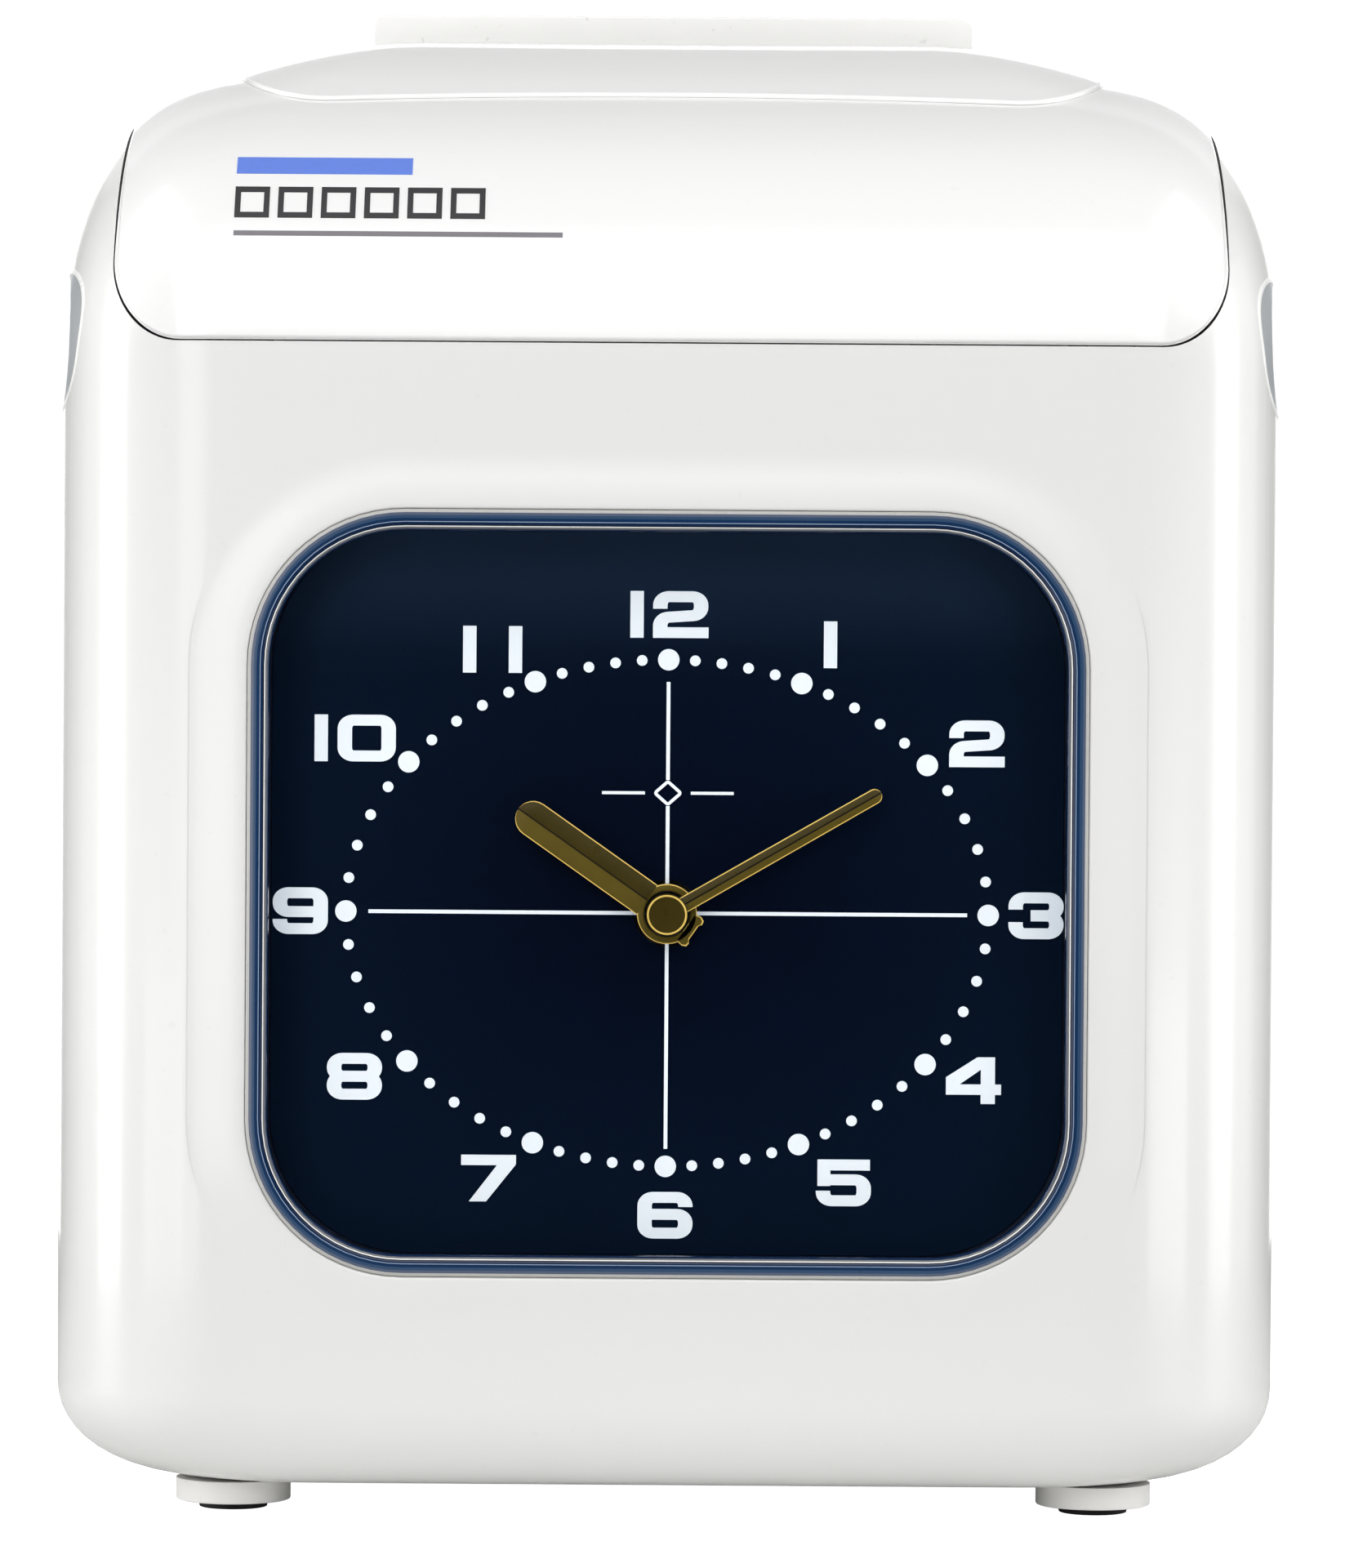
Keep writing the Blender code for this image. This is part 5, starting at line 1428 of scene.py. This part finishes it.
def make_centre_mark():
    """A small diamond between two bars."""
    mark = Shape()
    middle = (0.0, DIAL_Z + 15.7)
    diamond = ((0.0, -1.5), (1.7, 0.0), (0.0, 1.5), (-1.7, 0.0))
    lay_stroke(mark, diamond, middle, 0, closed=True, radius=0.25, pen=(0.2, 0.2))
    for side in (-1, 1):
        near, far = sorted((side * 3.0, side * 8.6))
        lay_area(mark, ((near, -0.2), (far, -0.2), (far, 0.2), (near, 0.2)), middle, 1)
    attach(mark.make("dial_centre_mark", DIAL_INK_AND_GLOW), "case", "dial_paint")


# ---------------------------------------------------------------- hands
def turn_hand(piece, degrees):
    """Turn a hand drawn at twelve o'clock to its place, clockwise for the reader."""
    pivot = Matrix.Translation((0.0, 0.0, DIAL_Z * MM))
    piece.data.transform(pivot @ Matrix.Rotation(math.radians(degrees), 4, "Y"))
    return piece


def blade(name, start, length, half, tip, back, front, ridge, painted_shade_side):
    """A straight round-ended hand: bright bevelled edges (a painted highlight), two facets, one in a painted
    shade, and a dark centre groove (painted shadow).
    """
    rim, groove = 0.12, 0.10
    stations = [start + (length - tip - start) * step / 3 for step in range(4)]
    stations += [length - tip + tip * math.sin(math.radians(a)) for a in (15, 30, 45, 60, 72, 82, 88)]
    shape = Shape()
    stack = []
    for station in stations:
        over = max(0.0, station - (length - tip)) / tip
        width = half + (tip - half) * min(1.0, station / (length - tip))
        width = max(0.05, width * math.sqrt(max(0.0, 1.0 - over * over)))
        inner = max(0.03, width - rim)
        middle = min(groove, inner * 0.5)
        crest = front - ridge * inner / half
        section = (
            (-width, back), (-width, front + 0.04), (-inner, front), (-middle, crest), (0.0, crest + 0.05),
            (middle, crest), (inner, front), (width, front + 0.04), (width, back),
        )
        stack.append(shape.add([(x, y, station) for x, y in section]))
    # One facet, on the side that the last argument names, takes the darker copy of the gold as painted shade.
    marks = (1, 1, 3, 2, 2, 0, 1, 1, 0) if painted_shade_side < 0 else (1, 1, 0, 2, 2, 3, 1, 1, 0)
    for lower, upper in zip(stack, stack[1:]):
        for index, mark in enumerate(marks):
            following = (index + 1) % len(marks)
            shape.face((lower[index], lower[following], upper[following], upper[index]), mark)
    shape.face(stack[0])
    shape.face(stack[-1])
    return shape.make(name, GOLD, GOLD_PAINTED_HIGHLIGHT, GOLD_PAINTED_SHADOW, GOLD_PAINTED_SHADE, smooth=20.0)


def hub(name, outer, inner, back, front, finish):
    """A flat ring with a bright outer edge, a painted highlight."""
    rim = 0.12
    profile = [
        (outer, back), (outer, front + 0.04), (outer - rim, front), (inner + rim, front),
        (inner, front + 0.12), (inner, back),
    ]
    centre = (0.0, 0.0)
    marks = [1, 1, 0, 0, 0, 0]
    return turned(name, "Y", centre, profile, finish, GOLD_PAINTED_HIGHLIGHT, closed=True, marks=marks, smooth=20.0)


def share_finishes(target, other):
    """Give the other mesh's faces the target's finish list, adding finishes that it lacks."""
    numbers = []
    for finish in other.data.materials:
        if finish.name not in target.data.materials:
            target.data.materials.append(finish)
        numbers.append(list(target.data.materials).index(finish))
    for face in other.data.polygons:
        face.material_index = numbers[face.material_index]


def merge(pieces):
    """Gather finished meshes into the first of them."""
    shape = bmesh.new()
    shape.from_mesh(pieces[0].data)
    for piece in pieces[1:]:
        share_finishes(pieces[0], piece)
        shape.from_mesh(piece.data)
        bpy.data.objects.remove(piece)
    shape.to_mesh(pieces[0].data)
    shape.free()


def make_hour_hand():
    low, high = place("hour_hand")
    back, front = low.y + 0.7, low.y
    hour = blade("hour_hand_blade", 3.2, 23.7, 2.35, 2.35, back, front, 0.2, 1)
    ring = hub("ring", 3.9, 3.0, back, front, GOLD)
    outline = (
        (-2.1, -3.0), (-2.25, -3.9), (-2.0, -4.45), (-1.5, -4.55), (-1.1, -4.25), (1.1, -4.25), (1.5, -4.55),
        (2.0, -4.45), (2.25, -3.9), (2.1, -3.0),
    )
    rings = []
    for shrink, y in ((1.0, back), (1.0, front + 0.04), (0.94, front), (0.92, front)):
        rings.append([(x * shrink, y, -3.4 + (z + 3.4) * (2.5 * shrink - 1.5)) for x, z in outline])
    tail = lofted("tail", rings, GOLD, GOLD_PAINTED_HIGHLIGHT, marks=[1, 1, 0])
    # The collet is near black: painted shadow at the hub.
    profile = [(1.7, high.y), (2.8, high.y), (2.8, back), (1.7, back)]
    collet = turned("collet", "Y", (0.0, 0.0), profile, GOLD_PAINTED_SHADOW, closed=True)
    merge([hour, ring, tail, collet])
    turn_hand(hour, HOUR_ANGLE)
    attach(hour, "hour", "hand_gold", "hour_hand")


def make_minute_hand():
    low, high = place("minute_hand")
    back, front = low.y + 0.6, low.y
    minute = blade("minute_hand_blade", 1.0, 32.0, 1.05, 0.975, back, front, 0.14, -1)
    # Plate and arbor are near black: painted shadow under the cap.
    profile = [(0.2, front + 0.14), (2.5, front + 0.14), (2.6, back), (0.2, back)]
    plate = turned("plate", "Y", (0.0, 0.0), profile, GOLD_PAINTED_SHADOW, closed=True)
    profile = [(0.2, back), (1.6, back), (1.6, high.y), (0.2, high.y)]
    arbor = turned("arbor", "Y", (0.0, 0.0), profile, GOLD_PAINTED_SHADOW, closed=True)
    merge([minute, plate, arbor])
    turn_hand(minute, MINUTE_ANGLE)
    attach(minute, "minute", "hand_gold", "minute_hand")


def make_hand_cap():
    low, high = place("hand_cap")
    radius = (high.x - low.x) / 2
    profile = [
        (radius, high.y), (radius, low.y + 0.3), (radius - 0.1, low.y + 0.1), (radius - 0.22, low.y),
        (radius - 0.34, low.y + 0.08), (1.2, low.y + 0.12), (0.2, low.y + 0.13),
    ]
    # The cap disc takes the painted shade and its edge the painted highlight.
    cap = turned("hand_cap_disc", "Y", (0.0, 0.0), profile, GOLD_PAINTED_SHADE, GOLD_PAINTED_HIGHLIGHT, marks=[0, 0, 1, 1, 0, 0],
                 smooth=20.0)
    turn_hand(cap, 0.0)
    attach(cap, "minute", "hand_gold", "hand_cap")


# ---------------------------------------------------------------- inside
NODE_FINISHES = {
    "zinc_steel": STEEL, "dark_steel": MOTOR_STEEL, "inner_plastic": INNER_GREY, "black_plastic": INNER_BLACK,
    "platen_rubber": ROLLER_RUBBER, "roller_rubber": ROLLER_RUBBER, "ribbon_fabric": RIBBON,
    "circuit_board": LAMINATE, "battery_sleeve": SLEEVE, "motor_steel": MOTOR_STEEL,
    "transformer_steel": CORE_STEEL, "pad_rubber": PAD_RUBBER, "button_plastic": KEY_WHITE,
}


def dress_cad_nodes():
    """Give the CAD nodes that still show their finishes."""
    slots = {part["node"]: part["material_slot"] for part in frame["record"]["subparts"]}
    for name, node in frame["nodes"].items():
        if node.hide_render:
            continue
        node.data.materials.clear()
        node.data.materials.append(NODE_FINISHES.get(slots.get(name), INNER_GREY))


KEY_STEPS = (
    # inset from the key's outline, depth below its top
    (0.0, 3.0), (0.0, 0.8), (0.15, 0.35), (0.5, 0.05), (1.0, 0.0), (1.8, 0.15), (3.0, 0.3),
)


def make_setting_keys():
    for number in (1, 2, 3):
        low, high = place(f"setting_key_{number}")
        centre = box_middle(low, high, "xy")
        rings = []
        for inset, drop in KEY_STEPS:
            outline = rounded_outline(centre, (5.5 - inset, 4.0 - inset), max(0.4, 1.5 - inset), 6)
            rings.append([(x, y, high.z - drop) for x, y in outline])
        key = lofted(f"key_cap_{number}", rings, KEY_WHITE)
        join(key, cylinder("stem", "Z", centre, 2.0, low.z, high.z - 2.6))
        tidy_mesh(key)
        attach(key, f"key_{number}", "button_plastic", f"setting_key_{number}")


# ---------------------------------------------------------------- stage, light and camera
def make_stage():
    """A pale floor that darkens outwards, a painted falloff of light. A glow for the viewer alone joins it to
    the white backdrop.
    """
    floor = Shape()
    floor.face(floor.add([(x, y, 0.0) for x, y in circle((0.0, 0.0), 420.0, 96)]))
    ground = floor.make("studio_floor")
    made, tree, paper = shader_of("studio_paper")
    pale, dark = (0.86, 0.86, 0.85), (0.03, 0.03, 0.03)
    # Darker further out: painted falloff of light, not a change in the floor.
    painted_falloff = ramp(tree, length_of(tree, coordinates(tree)), 90.0 * MM, 390.0 * MM, pale, dark)
    grain = ramp(tree, noise(tree, 3.0), 0.3, 0.7, 0.97, 1.0)
    tree.links.new(mixed(tree, "MULTIPLY", 1.0, painted_falloff, grain), paper.inputs["Base Color"])
    paper.inputs["Roughness"].default_value = 0.9
    paper.inputs["Specular IOR Level"].default_value = 0.0
    glow = tree.nodes.new("ShaderNodeEmission")
    tree.links.new(light_path(tree, "Is Camera Ray"), glow.inputs["Strength"])
    total = tree.nodes.new("ShaderNodeAddShader")
    tree.links.new(paper.outputs["BSDF"], total.inputs[0])
    tree.links.new(glow.outputs["Emission"], total.inputs[1])
    tree.links.new(total.outputs["Shader"], tree.nodes["Material Output"].inputs["Surface"])
    ground.data.materials.append(made)


def hang_light(name, spot, aim, size, power):
    light = bpy.data.lights.new(name, "AREA")
    light.shape = "RECTANGLE"
    light.size, light.size_y = size
    light.energy = power
    lamp = bpy.data.objects.new(name, light)
    bpy.context.scene.collection.objects.link(lamp)
    lamp.location = spot
    lamp.rotation_euler = (Vector(aim) - Vector(spot)).to_track_quat("-Z", "Y").to_euler()
    lamp.visible_camera = False


def softbox(name, azimuth, elevation, distance, size, power):
    """A softbox that faces the clock. Azimuth 0 is the viewer's side, 90 is to their right."""
    turn, lift = math.radians(azimuth), math.radians(elevation)
    toward = Vector((math.sin(turn) * math.cos(lift), -math.cos(turn) * math.cos(lift), math.sin(lift)))
    middle = Vector((0.0, 0.0, 0.10))
    hang_light(name, middle + toward * distance, middle, size, power)


def ceiling_panel(name, y, depth, power):
    """A wide panel that hangs level over the table."""
    hang_light(name, (0.0, y, 1.35), (0.0, y, 0.0), (2.0, depth), power)


def make_world():
    """A dim room that lights the clock a little, and a white backdrop for the viewer alone."""
    world = bpy.data.worlds.new("studio_room")
    bpy.context.scene.world = world
    world.use_nodes = True
    tree = world.node_tree
    room = tree.nodes["Background"]
    seen = tree.nodes.new("ShaderNodeBackground")
    seen.inputs["Color"].default_value = (1.0, 1.0, 1.0, 1.0)
    seen.inputs["Strength"].default_value = 1.05
    glow = ramp(tree, height_of(tree, coordinates(tree, "Generated")), 0.0, 0.5, 0.02, 0.04)
    tree.links.new(glow, room.inputs["Color"])
    both = tree.nodes.new("ShaderNodeMixShader")
    tree.links.new(light_path(tree, "Is Camera Ray"), both.inputs["Fac"])
    tree.links.new(room.outputs["Background"], both.inputs[1])
    tree.links.new(seen.outputs["Background"], both.inputs[2])
    tree.links.new(both.outputs["Shader"], tree.nodes["World Output"].inputs["Surface"])


SOFTBOXES = (
    # name, azimuth, elevation, distance, size, power
    ("front_left", -18.0, 4.0, 1.30, (0.30, 0.90), 2.0),
    ("side_left", -80.0, 8.0, 1.20, (0.50, 0.90), 8.3),
    ("side_right", 80.0, 8.0, 1.20, (0.50, 0.90), 5.8),
    ("back_left", -105.0, 8.0, 1.20, (0.50, 0.90), 0.7),
    ("back_right", 105.0, 8.0, 1.20, (0.50, 0.90), 1.4),
    ("upper_right", 55.0, 34.0, 1.30, (0.80, 0.60), 1.7),
    ("high_left", -75.0, 52.0, 1.30, (0.80, 0.60), 2.2),
    ("high_right", 75.0, 52.0, 1.30, (0.80, 0.60), 2.7),
    ("front_low", 0.0, 22.0, 1.30, (1.20, 0.35), 3.4),
    ("front_middle", 0.0, 34.0, 1.30, (1.40, 0.40), 2.6),
    ("front_high", 0.0, 52.0, 1.30, (1.40, 0.50), 3.3),
    ("rear", 180.0, 35.0, 1.30, (1.60, 0.45), 1.2),
    ("rear_high", 180.0, 50.0, 1.30, (1.60, 0.45), 0.4),
    ("behind", 180.0, 6.0, 1.30, (1.20, 0.80), 7.0),
    ("under_left", -35.0, -9.0, 1.10, (0.50, 0.20), 1.0),
    ("under_right", 35.0, -9.0, 1.10, (0.50, 0.20), 1.5),
)

CEILING = (
    # name, y of its middle, depth, power
    ("ceiling_front", -0.9, 2.6, 0.6),
    ("ceiling_middle", -0.3, 1.4, 3.0),
)


def make_lights():
    for box_values in SOFTBOXES:
        softbox(*box_values)
    for panel in CEILING:
        ceiling_panel(*panel)


def make_camera():
    """A view almost level with the window, from about a metre, with a long lens."""
    spot = (0.0006, -0.967, 0.1117)
    pitch, roll = math.radians(-1.0), math.radians(0.40)
    camera = bpy.data.cameras.new("view")
    camera.lens = 160.35
    camera.sensor_width = 36.0
    holder = bpy.data.objects.new("view", camera)
    bpy.context.scene.collection.objects.link(holder)
    turn = Matrix.Rotation(math.radians(90.0) + pitch, 4, "X") @ Matrix.Rotation(roll, 4, "Z")
    holder.matrix_world = Matrix.Translation(spot) @ turn
    bpy.context.scene.camera = holder


def make_all():
    make_front_housing()
    make_rear_housing()
    make_back_plate()
    make_feet()
    make_case_screws()
    make_cord_gland()
    make_top_cover()
    make_cover_marks()
    make_slot_bezel()
    make_card_guide()
    make_release_buttons()
    make_window()
    make_tray()
    make_dial()
    make_numerals()
    make_minute_dots()
    make_cross_lines()
    make_centre_mark()
    make_hour_hand()
    make_minute_hand()
    make_hand_cap()
    make_setting_keys()
    dress_cad_nodes()
    make_stage()
    make_world()
    make_lights()
    make_camera()
    bpy.context.scene.view_settings.view_transform = "Standard"


make_all()
